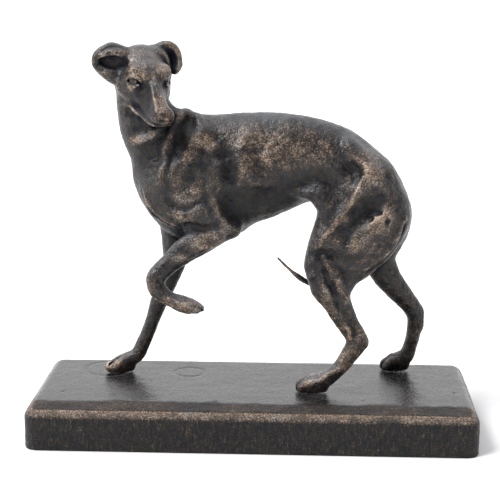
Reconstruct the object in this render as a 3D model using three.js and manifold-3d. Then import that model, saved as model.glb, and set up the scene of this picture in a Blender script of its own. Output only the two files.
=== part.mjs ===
// Cast iron dog statue: a slender hound, cast in one piece, standing on a plain slab.
// Millimetres, +Z up. The origin is the middle of the slab's underside, the dog faces -X
// and its left flank faces -Y.

import * as THREE from 'three';
import Module from 'manifold-3d';

// Slab
const slabLength = 250;
const slabDepth = 96;
const slabHeight = 24;
const slabCornerRadius = 7.5;
const slabEdgeRadius = 6.5;
const slabUnderRadius = 1;
const slabCornerSteps = 6;
const slabEdgeSteps = 4;

// Dog: everything about the figure is a share of its height, from the slab to the ear tips
const figureHeight = 196;
const seatGap = 0.3;
const share = figureHeight / 100;

// Fineness of the figure's surface
const gridStep = figureHeight / 106;
const figureFaces = 8600;
const strokeSteps = 5;
const tailSides = 7;

// Finish
const ironColour = 0x34322f;
const slabColour = 0x2f2d2c;
const ironRoughness = 0.55;
const ironMetalness = 0.75;

// Directions of the head: it is turned back over the left shoulder, with the muzzle lowered
const muzzleWay = new THREE.Vector3(0.4, -0.76, -0.51).normalize();
const headLeft = new THREE.Vector3(-muzzleWay.y, muzzleWay.x, 0).normalize();
const crownWay = new THREE.Vector3().crossVectors(muzzleWay, headLeft).normalize();
const skullPlace = new THREE.Vector3(-31.5, 2.2, 91.1);
const acrossDog = new THREE.Vector3(0, 1, 0);

// A place in the head: forward along the muzzle, to the dog's left, and up to the crown
function inHead(forward, left, up) {
  const place = skullPlace.clone();
  place.addScaledVector(muzzleWay, forward);
  place.addScaledVector(headLeft, left);
  place.addScaledVector(crownWay, up);
  return place.toArray();
}

// A stroke is a tapering form that follows a curve through its stations. A station is a
// place [along, across, up], half the form's thickness there, and its width as a share
// of that, all in hundredths of the figure's height.
function stroke(stations, { blend = 2, wide = acrossDog, cut = false } = {}) {
  const places = stations.map((station) => new THREE.Vector3(...station[0]));
  const girths = stations.map((station) => new THREE.Vector3(station[1], station[2] ?? 1, 0));
  const beads = [];
  const lengthwise = new THREE.CatmullRomCurve3(places, false, 'catmullrom', 0.5);
  const girthwise = new THREE.CatmullRomCurve3(girths, false, 'catmullrom', 0.5);
  const count = (stations.length - 1) * strokeSteps;
  for (let i = 0; i <= count; i += 1) {
    const place = lengthwise.getPoint(i / count);
    const girth = girthwise.getPoint(i / count);
    beads.push({ x: place.x, y: place.y, z: place.z, radius: Math.max(girth.x, 0.2), width: girth.y });
  }
  return { beads, blend, wide, cut };
}

// How far a point is outside the tapering form between two neighbouring beads
function beyondLink(a, b, wide, x, y, z) {
  const width = (a.width + b.width) / 2;
  const squash = 1 - 1 / width;
  const runX = b.x - a.x;
  const runY = b.y - a.y;
  const runZ = b.z - a.z;
  const offX = x - a.x;
  const offY = y - a.y;
  const offZ = z - a.z;
  const runSide = (runX * wide.x + runY * wide.y + runZ * wide.z) * squash;
  const offSide = (offX * wide.x + offY * wide.y + offZ * wide.z) * squash;
  const rx = runX - wide.x * runSide;
  const ry = runY - wide.y * runSide;
  const rz = runZ - wide.z * runSide;
  const ox = offX - wide.x * offSide;
  const oy = offY - wide.y * offSide;
  const oz = offZ - wide.z * offSide;
  const along = (ox * rx + oy * ry + oz * rz) / (rx * rx + ry * ry + rz * rz + 1e-12);
  const t = Math.min(Math.max(along, 0), 1);
  const gap = Math.hypot(ox - rx * t, oy - ry * t, oz - rz * t);
  return gap - (a.radius + (b.radius - a.radius) * t);
}

// Smooth union of two distances, and smooth cut of the second form out of the first
function join(a, b, blend) {
  const overlap = Math.max(blend - Math.abs(a - b), 0) / blend;
  return Math.min(a, b) - overlap * overlap * blend / 4;
}

function carve(a, b, blend) {
  return -join(-a, b, blend);
}

const farAway = 1e3;

// Links of a stroke, each with the box outside which it has no effect
function linksOf({ beads, blend, wide }, margin) {
  const links = [];
  for (let i = 0; i + 1 < beads.length; i += 1) {
    const a = beads[i];
    const b = beads[i + 1];
    const reach = Math.max(a.radius * Math.max(a.width, 1), b.radius * Math.max(b.width, 1));
    const pad = reach + blend + margin;
    links.push({
      a,
      b,
      wide,
      low: [Math.min(a.x, b.x) - pad, Math.min(a.y, b.y) - pad, Math.min(a.z, b.z) - pad],
      high: [Math.max(a.x, b.x) + pad, Math.max(a.y, b.y) + pad, Math.max(a.z, b.z) + pad],
    });
  }
  return links;
}

// The figure's field at one point: below zero inside the iron
function fieldAt(rows, x, y, z) {
  let value = farAway;
  for (const row of rows) {
    let nearest = farAway;
    for (const link of row.links) {
      nearest = Math.min(nearest, beyondLink(link.a, link.b, link.wide, x, y, z));
    }
    if (nearest < farAway) {
      value = row.cut ? carve(value, nearest, row.blend) : join(value, nearest, row.blend);
    }
  }
  return value;
}

function rowsOf(strokes, margin) {
  return strokes.map((form) => ({ blend: form.blend, cut: form.cut, links: linksOf(form, margin) }));
}

// Trunk, neck and chest
const midline = 4.6;
const trunk = [
  stroke([
    [[-21.8, midline, 61.2], 11.9, 0.62],
    [[-14.3, midline, 61.2], 16.9, 0.58],
    [[-5.7, midline, 62.8], 16.4, 0.6],
    [[2.9, midline, 64.6], 15.0, 0.6],
    [[11.5, midline, 66.1], 12.9, 0.6],
    [[20.1, midline, 65.6], 11.2, 0.66],
    [[26.4, midline, 63.2], 9.9, 0.8],
    [[31.9, midline, 59.0], 9.2, 0.95],
    [[35.0, midline, 54.5], 8.4, 1],
    [[37.2, midline, 50.3], 8.0, 1],
  ]),
  stroke([
    [[-32.8, 3.1, 86.4], 6.6, 0.9],
    [[-31.4, 3.6, 80.2], 7.7, 0.82],
    [[-30.2, 4.1, 74.2], 8.0, 0.8],
    [[-26.6, 4.5, 68.1], 9.0, 0.76],
    [[-23.0, midline, 62.9], 10.6, 0.7],
  ], { blend: 4 }),
  stroke([
    [[-28.8, midline, 60.5], 4.0, 1.3],
    [[-26.6, midline, 53.5], 4.2, 1.2],
    [[-22.4, midline, 47.8], 4.0, 1],
    [[-14.5, midline, 45.0], 3.4, 1],
    [[-6.0, midline, 48.2], 2.6, 1],
  ], { blend: 5 }),
  stroke([
    [[-24.0, midline, 77.0], 3.4, 0.9],
    [[-19.6, midline, 77.0], 2.9, 0.9],
    [[-13.0, midline, 73.5], 3.0, 0.9],
  ], { blend: 3 }),
];

// Head: skull, muzzle, jaw, cheeks, brows, eyes and nose
const sides = [-1, 1];
const head = [
  stroke([
    [inHead(-2.4, 0, 0.2), 6.0, 1.12],
    [inHead(2.6, 0, -0.2), 6.0, 1.1],
  ], { blend: 2.5, wide: headLeft }),
  stroke([
    [inHead(4.0, 0, -1.2), 5.0, 1.15],
    [inHead(9.0, 0, -2.3), 4.1, 1.05],
    [inHead(13.5, 0, -2.6), 3.4, 1.0],
    [inHead(17.4, 0, -2.7), 2.8, 1.1],
  ], { blend: 2.5, wide: headLeft }),
  stroke([
    [inHead(1.5, 0, -5.2), 3.6, 1.4],
    [inHead(8, 0, -6.2), 2.6, 1.4],
    [inHead(15.8, 0, -5.4), 1.8, 1.3],
  ], { blend: 1.6, wide: headLeft }),
  stroke([
    [inHead(18.6, 0, -1.4), 1.7, 1.2],
    [inHead(19.4, 0, -2.0), 1.5, 1.15],
  ], { blend: 0.8, wide: headLeft }),
];
for (const side of sides) {
  head.push(
    stroke([[inHead(0.5, 4.6 * side, -2.6), 3.2], [inHead(4.5, 3.6 * side, -3.4), 2.8]]),
    stroke([[inHead(4.6, 4.4 * side, 3.4), 1.7], [inHead(6.8, 2.4 * side, 2.9), 1.7]], { blend: 1.5 }),
    stroke([[inHead(7.6, 5.6 * side, 1.4), 1.3], [inHead(10.4, 4.0 * side, -0.2), 1.3]],
      { blend: 1.4, cut: true }),
    stroke([[inHead(5.9, 4.6 * side, 1.3), 1.3], [inHead(6.2, 4.3 * side, 1.1), 1.3]], { blend: 0.5 }),
  );
}

// Ears: a thin back wall, a rolled rim round it, and the hollow that faces forward
const ears = [
  stroke([
    [[-38.2, 1.2, 94.3], 3.2, 0.5],
    [[-41.2, 0.4, 93.8], 3.4, 0.4],
  ], { blend: 1.5 }),
  stroke([
    [[-36.6, 1.6, 96.2], 1.8],
    [[-40.3, 0.4, 97.7], 1.7],
    [[-43.5, -0.8, 96.0], 1.3],
    [[-44.1, -1.4, 93.7], 1.2],
    [[-42.6, -1.3, 91.4], 1.3],
    [[-39.6, -0.4, 89.4], 1.6],
  ], { blend: 1.2 }),
  stroke([
    [[-28.9, 5.4, 95.2], 2.2],
    [[-26.4, 5.6, 94.6], 2.3],
    [[-24.8, 5.2, 92.1], 1.6],
  ], { blend: 1.6 }),
  stroke([
    [[-28.6, 6.4, 96.6], 1.8],
    [[-25.3, 6.6, 97.9], 1.6],
    [[-22.9, 6.4, 97.0], 1.3],
    [[-21.8, 6.0, 94.7], 1.1],
    [[-21.7, 5.4, 92.5], 1.1],
    [[-22.6, 4.8, 90.9], 1.0],
  ], { blend: 1.2 }),
];

// Limbs
const limbs = [
  // Left foreleg, lifted and folded at the wrist
  stroke([
    [[-24.5, -1.5, 57.5], 6.2, 0.6],
    [[-16.0, -2.4, 53.0], 6.6, 0.6],
    [[-9.5, -2.6, 49.4], 4.4, 0.8],
    [[-6.2, -2.6, 47.6], 2.6, 0.9],
  ], { blend: 4 }),
  stroke([
    [[-7.2, -2.6, 47.7], 3.2, 0.8],
    [[-13.0, -2.6, 44.9], 4.0, 0.75],
    [[-19.0, -2.6, 41.1], 3.7, 0.75],
    [[-23.6, -3.1, 37.3], 3.0, 0.8],
    [[-28.0, -3.6, 32.8], 2.8, 0.9],
    [[-27.2, -4.1, 29.0], 2.5, 0.9],
    [[-23.6, -4.6, 26.7], 2.2, 1],
    [[-19.6, -5.1, 25.2], 2.4, 1.1],
    [[-15.6, -5.7, 24.7], 2.0, 1.2],
  ], { blend: 2 }),
  // Right foreleg, standing forward
  stroke([
    [[-23.4, 9.6, 54.0], 6.0, 0.6],
    [[-23.4, 10.2, 45.6], 4.8, 0.75],
    [[-23.8, 10.2, 39.7], 4.0, 0.8],
    [[-24.0, 10.2, 34.4], 3.5, 0.8],
    [[-25.9, 10.3, 28.6], 2.8, 0.85],
    [[-28.9, 10.5, 21.8], 2.5, 0.95],
    [[-31.4, 10.5, 14.8], 2.0, 0.95],
    [[-33.9, 10.7, 8.7], 2.1, 1],
    [[-36.0, 10.7, 5.0], 2.2, 1.15],
    [[-40.2, 10.2, 2.9], 2.3, 1.2],
    [[-43.8, 9.5, 1.6], 1.7, 1.3],
  ], { blend: 3 }),
  // Fold of skin between the belly and the left thigh
  stroke([
    [[13.5, -0.5, 58.2], 1.9],
    [[17.4, -1.2, 56.8], 2.0],
    [[20.6, -1.8, 53.4], 2.0],
  ], { blend: 3 }),
  // Left hind leg: front and back of the thigh, then shin, hock and foot
  stroke([
    [[32.5, 1.2, 60.5], 7.4, 0.7],
    [[27.8, -0.4, 51.4], 8.7, 0.6],
    [[22.9, -1.4, 43.0], 7.1, 0.62],
    [[19.2, -2.0, 36.8], 4.7, 0.75],
    [[20.4, -2.2, 30.8], 4.2, 0.75],
  ], { blend: 3 }),
  stroke([
    [[37.0, 1.4, 54.0], 6.2, 0.75],
    [[35.4, -0.2, 46.0], 7.0, 0.64],
    [[30.4, -1.0, 40.0], 6.6, 0.6],
    [[25.4, -1.8, 34.6], 5.4, 0.62],
    [[23.3, -2.4, 28.9], 4.7, 0.7],
    [[24.8, -3.1, 24.3], 3.8, 0.75],
    [[27.2, -3.7, 19.7], 3.2, 0.8],
    [[29.7, -4.5, 15.2], 3.0, 0.85],
    [[27.3, -4.8, 10.2], 2.5, 0.9],
    [[24.6, -5.4, 6.6], 2.1, 1],
    [[21.0, -5.8, 3.8], 2.4, 1.1],
    [[17.0, -5.6, 2.5], 2.4, 1.1],
    [[13.8, -5.2, 1.6], 1.6, 1.3],
  ], { blend: 3 }),
  stroke([
    [[31.0, -4.6, 15.6], 1.4],
    [[31.9, -4.6, 14.4], 1.2],
  ], { blend: 1.6 }),
  // Right hind leg, set back
  stroke([
    [[35.0, 8.0, 56.0], 7.0, 0.75],
    [[37.8, 9.4, 46.6], 7.4, 0.62],
    [[36.4, 10.2, 37.4], 5.0, 0.66],
    [[38.6, 10.8, 31.2], 4.2, 0.7],
    [[42.3, 11.7, 26.2], 3.4, 0.75],
    [[46.3, 12.8, 21.4], 2.9, 0.8],
    [[48.3, 13.8, 17.2], 2.8, 0.85],
    [[47.7, 14.3, 12.6], 2.2, 0.9],
    [[47.0, 15.1, 8.2], 2.0, 1],
    [[45.6, 15.6, 4.4], 2.4, 1.05],
    [[42.5, 16.1, 2.8], 2.3, 1.2],
    [[39.8, 16.3, 1.7], 1.7, 1.3],
  ], { blend: 3 }),
];

// Tail: tucked under between the hind legs, with its tip free below the belly
const tail = stroke([
  [[39.6, midline, 58.5], 2.4],
  [[42.4, midline, 52.7], 1.9],
  [[42.8, midline, 46.6], 1.5],
  [[40.2, midline, 41.0], 1.3],
  [[35.9, midline, 36.0], 1.2],
  [[30.2, 4.3, 31.2], 1.1],
  [[23.9, 4.1, 28.8], 1.0],
  [[17.4, 3.1, 29.6], 0.85],
  [[12.2, 2.0, 32.7], 0.65],
  [[6.8, 1.0, 37.9], 0.35],
]);

const modelled = [...trunk, ...head, ...ears, ...limbs];
const modelledRows = rowsOf(modelled, 0);

// Across-place of the modelled surface on one flank, and a station sunk just under it
function flankPlace(along, up, flank) {
  let inner = midline;
  let outer = midline + 30 * flank;
  for (let i = 0; i < 24; i += 1) {
    const middle = (inner + outer) / 2;
    if (fieldAt(modelledRows, along, middle, up) < 0) inner = middle;
    else outer = middle;
  }
  return inner;
}

// A ridge or groove laid along one flank: stations are [along, up, radius, how deep its
// middle lies under the surface]
function onFlank(stations, flank, options = {}) {
  const laid = stations.map(([along, up, radius, sunk]) => {
    const across = flankPlace(along, up, flank) - sunk * flank;
    return [[along, across, up], radius];
  });
  return stroke(laid, options);
}

const leftFlank = -1;
const rightFlank = 1;
const carving = [];
for (const flank of [leftFlank, rightFlank]) {
  carving.push(
    // Shoulder blade, its point and the muscle behind the upper arm
    onFlank([[-14.5, 73.5, 2.6, 1.7], [-18.6, 68.5, 3.0, 1.9], [-22.5, 62.0, 3.2, 2]], flank),
    onFlank([[-9.5, 64.0, 3.4, 2.4], [-10.0, 57.0, 3.8, 2.4], [-7.4, 51.0, 2.4, 1.4]], flank),
    // Point of the hip and the muscle down the front of the thigh
    onFlank([[25.2, 73.8, 2.0, 1.1], [29.2, 70.0, 1.9, 1.1], [33.4, 64.0, 2.4, 1.4]], flank),
    // Hollow in front of the hip
    onFlank([[27.4, 64.5, 3.0, -1.6], [30.0, 61.0, 2.6, -1.4]], flank, { cut: true, blend: 3 }),
  );
}
carving.push(
  // Fold of skin from the withers down to the breast
  onFlank([
    [-21.9, 78.2, 1.3, 0.6],
    [-23.0, 72.5, 1.4, 0.7],
    [-24.8, 66.0, 1.4, 0.7],
    [-26.6, 59.5, 1.4, 0.8],
  ], leftFlank, { blend: 1.5 }),
  // Tight muscles of the left thigh, with a hollow between them
  onFlank([
    [33.2, 63.5, 1.8, 0.8],
    [28.7, 57.5, 1.8, 0.7],
    [23.4, 50.4, 1.8, 0.7],
    [17.6, 42.0, 1.6, 0.9],
  ], leftFlank, { blend: 2 }),
  onFlank([[37.6, 51.0, 2.0, 1], [33.4, 47.4, 2.2, 1], [27.9, 42.2, 2.0, 1]], leftFlank, { blend: 2 }),
  onFlank([[34.6, 55.2, 2.0, -1], [29.6, 50.6, 2.2, -1], [25.4, 45.8, 1.6, -0.8]], leftFlank,
    { cut: true, blend: 2.5 }),
);

const figureStrokes = [...modelled, ...carving];

// Surface of the figure: the field is read on a grid, whose cells are split into six
// tetrahedra round their long diagonal, so the surface closes by itself
const cornerSteps = [
  [0, 0, 0], [1, 0, 0], [0, 1, 0], [1, 1, 0], [0, 0, 1], [1, 0, 1], [0, 1, 1], [1, 1, 1],
];
const tetrahedra = [
  [0, 1, 3, 7], [0, 3, 2, 7], [0, 2, 6, 7], [0, 6, 4, 7], [0, 4, 5, 7], [0, 5, 1, 7],
];

function readGrid(strokes, cell, floor) {
  const rows = rowsOf(strokes, 2 * cell);
  const links = rows.flatMap((row) => row.links);
  const low = [0, 1, 2].map((axis) => Math.min(...links.map((link) => link.low[axis])));
  const high = [0, 1, 2].map((axis) => Math.max(...links.map((link) => link.high[axis])));
  low[2] = floor - 2.5 * cell;
  const size = low.map((value, axis) => Math.ceil((high[axis] - value) / cell) + 1);
  const values = new Float64Array(size[0] * size[1] * size[2]).fill(farAway);
  const block = 8;
  const blocks = size.map((count) => Math.ceil(count / block));
  for (let bz = 0; bz < blocks[2]; bz += 1) {
    for (let by = 0; by < blocks[1]; by += 1) {
      for (let bx = 0; bx < blocks[0]; bx += 1) {
        const first = [bx * block, by * block, bz * block];
        const last = first.map((value, axis) => Math.min(value + block, size[axis]));
        const from = first.map((value, axis) => low[axis] + value * cell);
        const to = last.map((value, axis) => low[axis] + (value - 1) * cell);
        const touches = (link) => [0, 1, 2].every(
          (axis) => link.low[axis] <= to[axis] && link.high[axis] >= from[axis],
        );
        const near = rows
          .map((row) => ({ blend: row.blend, cut: row.cut, links: row.links.filter(touches) }))
          .filter((row) => row.links.length > 0);
        if (near.every((row) => row.cut)) continue;
        for (let k = first[2]; k < last[2]; k += 1) {
          const z = low[2] + k * cell;
          for (let j = first[1]; j < last[1]; j += 1) {
            for (let i = first[0]; i < last[0]; i += 1) {
              const value = fieldAt(near, low[0] + i * cell, low[1] + j * cell, z);
              values[i + size[0] * (j + size[1] * k)] = Math.max(value, floor - z) || 1e-9;
            }
          }
        }
      }
    }
  }
  return { values, size, low, cell };
}

function skinOf({ values, size, low, cell }) {
  const points = [];
  const faces = [];
  const known = new Map();
  const stride = [1, size[0], size[0] * size[1]];
  const nearEnd = 0.1;

  function crossing(a, b, cornerA, cornerB) {
    const key = a < b ? a * values.length + b : b * values.length + a;
    let index = known.get(key);
    if (index === undefined) {
      const level = values[a] / (values[a] - values[b]);
      const t = Math.min(Math.max(level, nearEnd), 1 - nearEnd);
      index = points.length / 3;
      for (let axis = 0; axis < 3; axis += 1) {
        points.push(low[axis] + cell * (cornerA[axis] + (cornerB[axis] - cornerA[axis]) * t));
      }
      known.set(key, index);
    }
    return index;
  }

  for (let k = 0; k + 1 < size[2]; k += 1) {
    for (let j = 0; j + 1 < size[1]; j += 1) {
      for (let i = 0; i + 1 < size[0]; i += 1) {
        const corners = cornerSteps.map(([x, y, z]) => [i + x, j + y, k + z]);
        const nodes = corners.map(([x, y, z]) => x * stride[0] + y * stride[1] + z * stride[2]);
        const insideCount = nodes.filter((node) => values[node] < 0).length;
        if (insideCount === 0 || insideCount === 8) continue;
        for (const tetrahedron of tetrahedra) {
          const inner = tetrahedron.filter((corner) => values[nodes[corner]] < 0);
          const outer = tetrahedron.filter((corner) => values[nodes[corner]] >= 0);
          if (inner.length === 0 || outer.length === 0) continue;
          const ordered = [...inner, ...outer];
          const [p, q, r, s] = ordered.map((corner) => cornerSteps[corner]);
          const turn = new THREE.Matrix3().set(
            q[0] - p[0], q[1] - p[1], q[2] - p[2],
            r[0] - p[0], r[1] - p[1], r[2] - p[2],
            s[0] - p[0], s[1] - p[1], s[2] - p[2],
          ).determinant();
          const at = (u, v) => crossing(nodes[u], nodes[v], corners[u], corners[v]);
          const made = [];
          if (inner.length === 1) {
            made.push([at(inner[0], outer[0]), at(inner[0], outer[1]), at(inner[0], outer[2])]);
          } else if (inner.length === 3) {
            made.push([at(inner[0], outer[0]), at(inner[1], outer[0]), at(inner[2], outer[0])]);
          } else {
            const [ac, ad] = [at(inner[0], outer[0]), at(inner[0], outer[1])];
            const [bc, bd] = [at(inner[1], outer[0]), at(inner[1], outer[1])];
            made.push([ac, ad, bd], [ac, bd, bc]);
          }
          for (const [a, b, c] of made) {
            if (turn > 0) faces.push(a, b, c);
            else faces.push(a, c, b);
          }
        }
      }
    }
  }
  return { points: Float64Array.from(points), faces: Uint32Array.from(faces) };
}

// Limits for thinning a skin: how far a face may turn, how narrow it may get, how well a
// best place must be fixed, and how much short edges go before long ones
const leastAgreement = 0.25;
const leastFullness = 0.09;
const leastSteadiness = 2e-4;
const evenness = 1e-6;

// Thins a closed skin to a number of faces: the edge whose loss moves the surface least is
// drawn together first, as long as no face turns over and the skin stays closed
function thinned({ points, faces }, target) {
  const pointCount = points.length / 3;
  const around = Array.from({ length: pointCount }, () => new Set());
  const quadrics = Array.from({ length: pointCount }, () => new Float64Array(10));
  const edges = new Array(pointCount).fill(0);
  let alive = faces.length / 3;

  const corner = (face, index) => faces[3 * face + index];
  const place = (index) => [points[3 * index], points[3 * index + 1], points[3 * index + 2]];
  const spanOf = (a, b) => Math.hypot(a[0] - b[0], a[1] - b[1], a[2] - b[2]);

  function normalOf(a, b, c) {
    const ux = b[0] - a[0];
    const uy = b[1] - a[1];
    const uz = b[2] - a[2];
    const vx = c[0] - a[0];
    const vy = c[1] - a[1];
    const vz = c[2] - a[2];
    return [uy * vz - uz * vy, uz * vx - ux * vz, ux * vy - uy * vx];
  }

  for (let face = 0; face < alive; face += 1) {
    const [a, b, c] = [corner(face, 0), corner(face, 1), corner(face, 2)];
    const normal = normalOf(place(a), place(b), place(c));
    const size = Math.hypot(...normal) || 1e-12;
    const [x, y, z] = normal.map((value) => value / size);
    const [px, py, pz] = place(a);
    const w = -(x * px + y * py + z * pz);
    const plane = [x * x, x * y, x * z, x * w, y * y, y * z, y * w, z * z, z * w, w * w];
    for (const index of [a, b, c]) {
      around[index].add(face);
      plane.forEach((value, slot) => {
        quadrics[index][slot] += value * size;
      });
    }
  }

  function moved(quadric, [x, y, z]) {
    const [xx, xy, xz, xw, yy, yz, yw, zz, zw, ww] = quadric;
    return xx * x * x + 2 * xy * x * y + 2 * xz * x * z + 2 * xw * x + yy * y * y
      + 2 * yz * y * z + 2 * yw * y + zz * z * z + 2 * zw * z + ww;
  }

  // The place for the drawn-together point: where the quadric is least, or else the middle
  function bestPlace(a, b) {
    const sum = quadrics[a].map((value, slot) => value + quadrics[b][slot]);
    const [xx, xy, xz, xw, yy, yz, yw, zz, zw] = sum;
    const system = new THREE.Matrix3().set(xx, xy, xz, xy, yy, yz, xz, yz, zz);
    const middle = place(a).map((value, axis) => (value + place(b)[axis]) / 2);
    const trace = xx + yy + zz;
    const steady = system.determinant() > leastSteadiness * trace ** 3;
    let chosen = middle;
    if (steady) {
      const solved = new THREE.Vector3(-xw, -yw, -zw).applyMatrix3(system.invert()).toArray();
      if (spanOf(solved, middle) < spanOf(place(a), place(b))) chosen = solved;
    }
    const options = [chosen, place(a), place(b)];
    const costs = options.map((option) => moved(sum, option));
    const best = costs.indexOf(Math.min(...costs));
    return { cost: Math.max(costs[best], 0), place: options[best] };
  }

  // Waiting edges, cheapest first
  const heap = [];
  function rise(entry) {
    let slot = heap.push(entry) - 1;
    while (slot > 0) {
      const parent = (slot - 1) >> 1;
      if (heap[parent].cost <= entry.cost) break;
      heap[slot] = heap[parent];
      slot = parent;
    }
    heap[slot] = entry;
  }
  function cheapest() {
    const top = heap[0];
    const entry = heap.pop();
    let slot = 0;
    while (heap.length > 0) {
      let child = 2 * slot + 1;
      if (child >= heap.length) break;
      if (child + 1 < heap.length && heap[child + 1].cost < heap[child].cost) child += 1;
      if (heap[child].cost >= entry.cost) break;
      heap[slot] = heap[child];
      slot = child;
    }
    if (heap.length > 0) heap[slot] = entry;
    return top;
  }
  function wait(a, b) {
    const { cost, place: to } = bestPlace(a, b);
    const span = spanOf(place(a), place(b));
    rise({ a, b, to, cost: cost + evenness * span * span, stamp: edges[a] + edges[b] });
  }

  function neighbours(index) {
    const found = new Set();
    for (const face of around[index]) {
      for (let slot = 0; slot < 3; slot += 1) found.add(corner(face, slot));
    }
    found.delete(index);
    return found;
  }

  // Whether the faces of one point stay upright and full when it moves
  function staysUpright(index, other, to) {
    for (const face of around[index]) {
      const indices = [corner(face, 0), corner(face, 1), corner(face, 2)];
      if (indices.includes(other)) continue;
      const before = indices.map(place);
      const after = indices.map((value, slot) => (value === index ? to : before[slot]));
      const was = normalOf(...before);
      const now = normalOf(...after);
      const agree = was[0] * now[0] + was[1] * now[1] + was[2] * now[2];
      const size = Math.hypot(...now);
      if (agree <= leastAgreement * size * Math.hypot(...was)) return false;
      const longest = Math.max(...after.map((value, slot) => spanOf(value, after[(slot + 1) % 3])));
      if (size < leastFullness * longest * longest) return false;
    }
    return true;
  }

  const seen = new Set();
  for (let face = 0; face < alive; face += 1) {
    for (let slot = 0; slot < 3; slot += 1) {
      const a = corner(face, slot);
      const b = corner(face, (slot + 1) % 3);
      const key = Math.min(a, b) * pointCount + Math.max(a, b);
      if (!seen.has(key)) wait(a, b);
      seen.add(key);
    }
  }

  const gone = new Uint8Array(pointCount);
  while (alive > target && heap.length > 0) {
    const { a, b, to, stamp } = cheapest();
    if (gone[a] || gone[b] || stamp !== edges[a] + edges[b]) continue;
    const nextToB = neighbours(b);
    if (!nextToB.has(a)) continue;
    const common = [...neighbours(a)].filter((index) => nextToB.has(index));
    if (common.length !== 2) continue;
    if (!staysUpright(a, b, to) || !staysUpright(b, a, to)) continue;
    points.set(to, 3 * a);
    quadrics[b].forEach((value, slot) => {
      quadrics[a][slot] += value;
    });
    for (const face of around[b]) {
      const indices = [corner(face, 0), corner(face, 1), corner(face, 2)];
      if (indices.includes(a)) {
        for (const index of indices) around[index].delete(face);
        alive -= 1;
      } else {
        faces[3 * face + indices.indexOf(b)] = a;
        around[a].add(face);
      }
    }
    around[b].clear();
    gone[b] = 1;
    edges[a] += edges[b] + 1;
    for (const index of neighbours(a)) wait(a, index);
  }

  const kept = new Set();
  for (let index = 0; index < pointCount; index += 1) {
    for (const face of around[index]) kept.add(face);
  }
  const order = [...kept].sort((p, q) => p - q);
  return { points, faces: order.flatMap((face) => [corner(face, 0), corner(face, 1), corner(face, 2)]) };
}

// A closed BufferGeometry from points and faces, with only the points in use
function geometryOf(points, faces) {
  const order = new Map();
  const used = [];
  const index = faces.map((point) => {
    if (!order.has(point)) {
      order.set(point, order.size);
      used.push(points[3 * point], points[3 * point + 1], points[3 * point + 2]);
    }
    return order.get(point);
  });
  const geometry = new THREE.BufferGeometry();
  geometry.setAttribute('position', new THREE.Float32BufferAttribute(used, 3));
  geometry.setIndex(index);
  geometry.computeVertexNormals();
  return geometry;
}

// A round tube through a stroke's beads, closed at both ends
function tubeOf({ beads }, sides) {
  const points = [];
  const faces = [];
  beads.forEach((bead, ring) => {
    const before = beads[Math.max(ring - 1, 0)];
    const after = beads[Math.min(ring + 1, beads.length - 1)];
    const way = new THREE.Vector3(after.x - before.x, after.y - before.y, after.z - before.z);
    const right = new THREE.Vector3().crossVectors(acrossDog, way).normalize();
    const up = new THREE.Vector3().crossVectors(way, right).normalize();
    for (let side = 0; side < sides; side += 1) {
      const angle = (side / sides) * 2 * Math.PI;
      const point = new THREE.Vector3(bead.x, bead.y, bead.z);
      point.addScaledVector(right, bead.radius * Math.cos(angle));
      point.addScaledVector(up, bead.radius * Math.sin(angle));
      points.push(...point.toArray());
      if (ring > 0) {
        const a = (ring - 1) * sides + side;
        const b = (ring - 1) * sides + (side + 1) % sides;
        faces.push(a, b, b + sides, a, b + sides, a + sides);
      }
    }
  });
  const end = (beads.length - 1) * sides;
  for (let side = 1; side + 1 < sides; side += 1) {
    faces.push(0, side + 1, side);
    faces.push(end, end + side, end + side + 1);
  }
  return { points, faces };
}

const manifold = await Module();
manifold.setup();

function solidOf(geometry) {
  const mesh = new manifold.Mesh({
    numProp: 3,
    vertProperties: Float32Array.from(geometry.getAttribute('position').array),
    triVerts: Uint32Array.from(geometry.getIndex().array),
  });
  return new manifold.Manifold(mesh);
}

// The figure's own points, scaled to millimetres and set down on the slab
function standing(points) {
  return Array.from(points, (value, slot) => (
    slot % 3 === 2 ? Math.max(value, 0) * share + slabHeight + seatGap : value * share
  ));
}

function houndGeometry() {
  const skin = thinned(skinOf(readGrid(figureStrokes, gridStep / share, 0)), figureFaces);
  const tube = tubeOf(tail, tailSides);
  const body = solidOf(geometryOf(standing(skin.points), skin.faces));
  const whole = body.add(solidOf(geometryOf(standing(tube.points), tube.faces)));
  const { vertProperties, triVerts } = whole.getMesh();
  return geometryOf(vertProperties, Array.from(triVerts));
}

// Slab: one rounded outline, repeated up the side and drawn in round the top edge
function slabOutline(inset) {
  const radius = Math.max(slabCornerRadius - inset, 0.5);
  const reachX = slabLength / 2 - inset - radius;
  const reachY = slabDepth / 2 - inset - radius;
  const outline = [];
  const corners = [[1, 1], [-1, 1], [-1, -1], [1, -1]];
  corners.forEach(([signX, signY], quarter) => {
    for (let step = 0; step <= slabCornerSteps; step += 1) {
      const angle = (quarter + step / slabCornerSteps) * Math.PI / 2;
      outline.push([
        signX * reachX + radius * Math.cos(angle),
        signY * reachY + radius * Math.sin(angle),
      ]);
    }
  });
  return outline;
}

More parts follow.
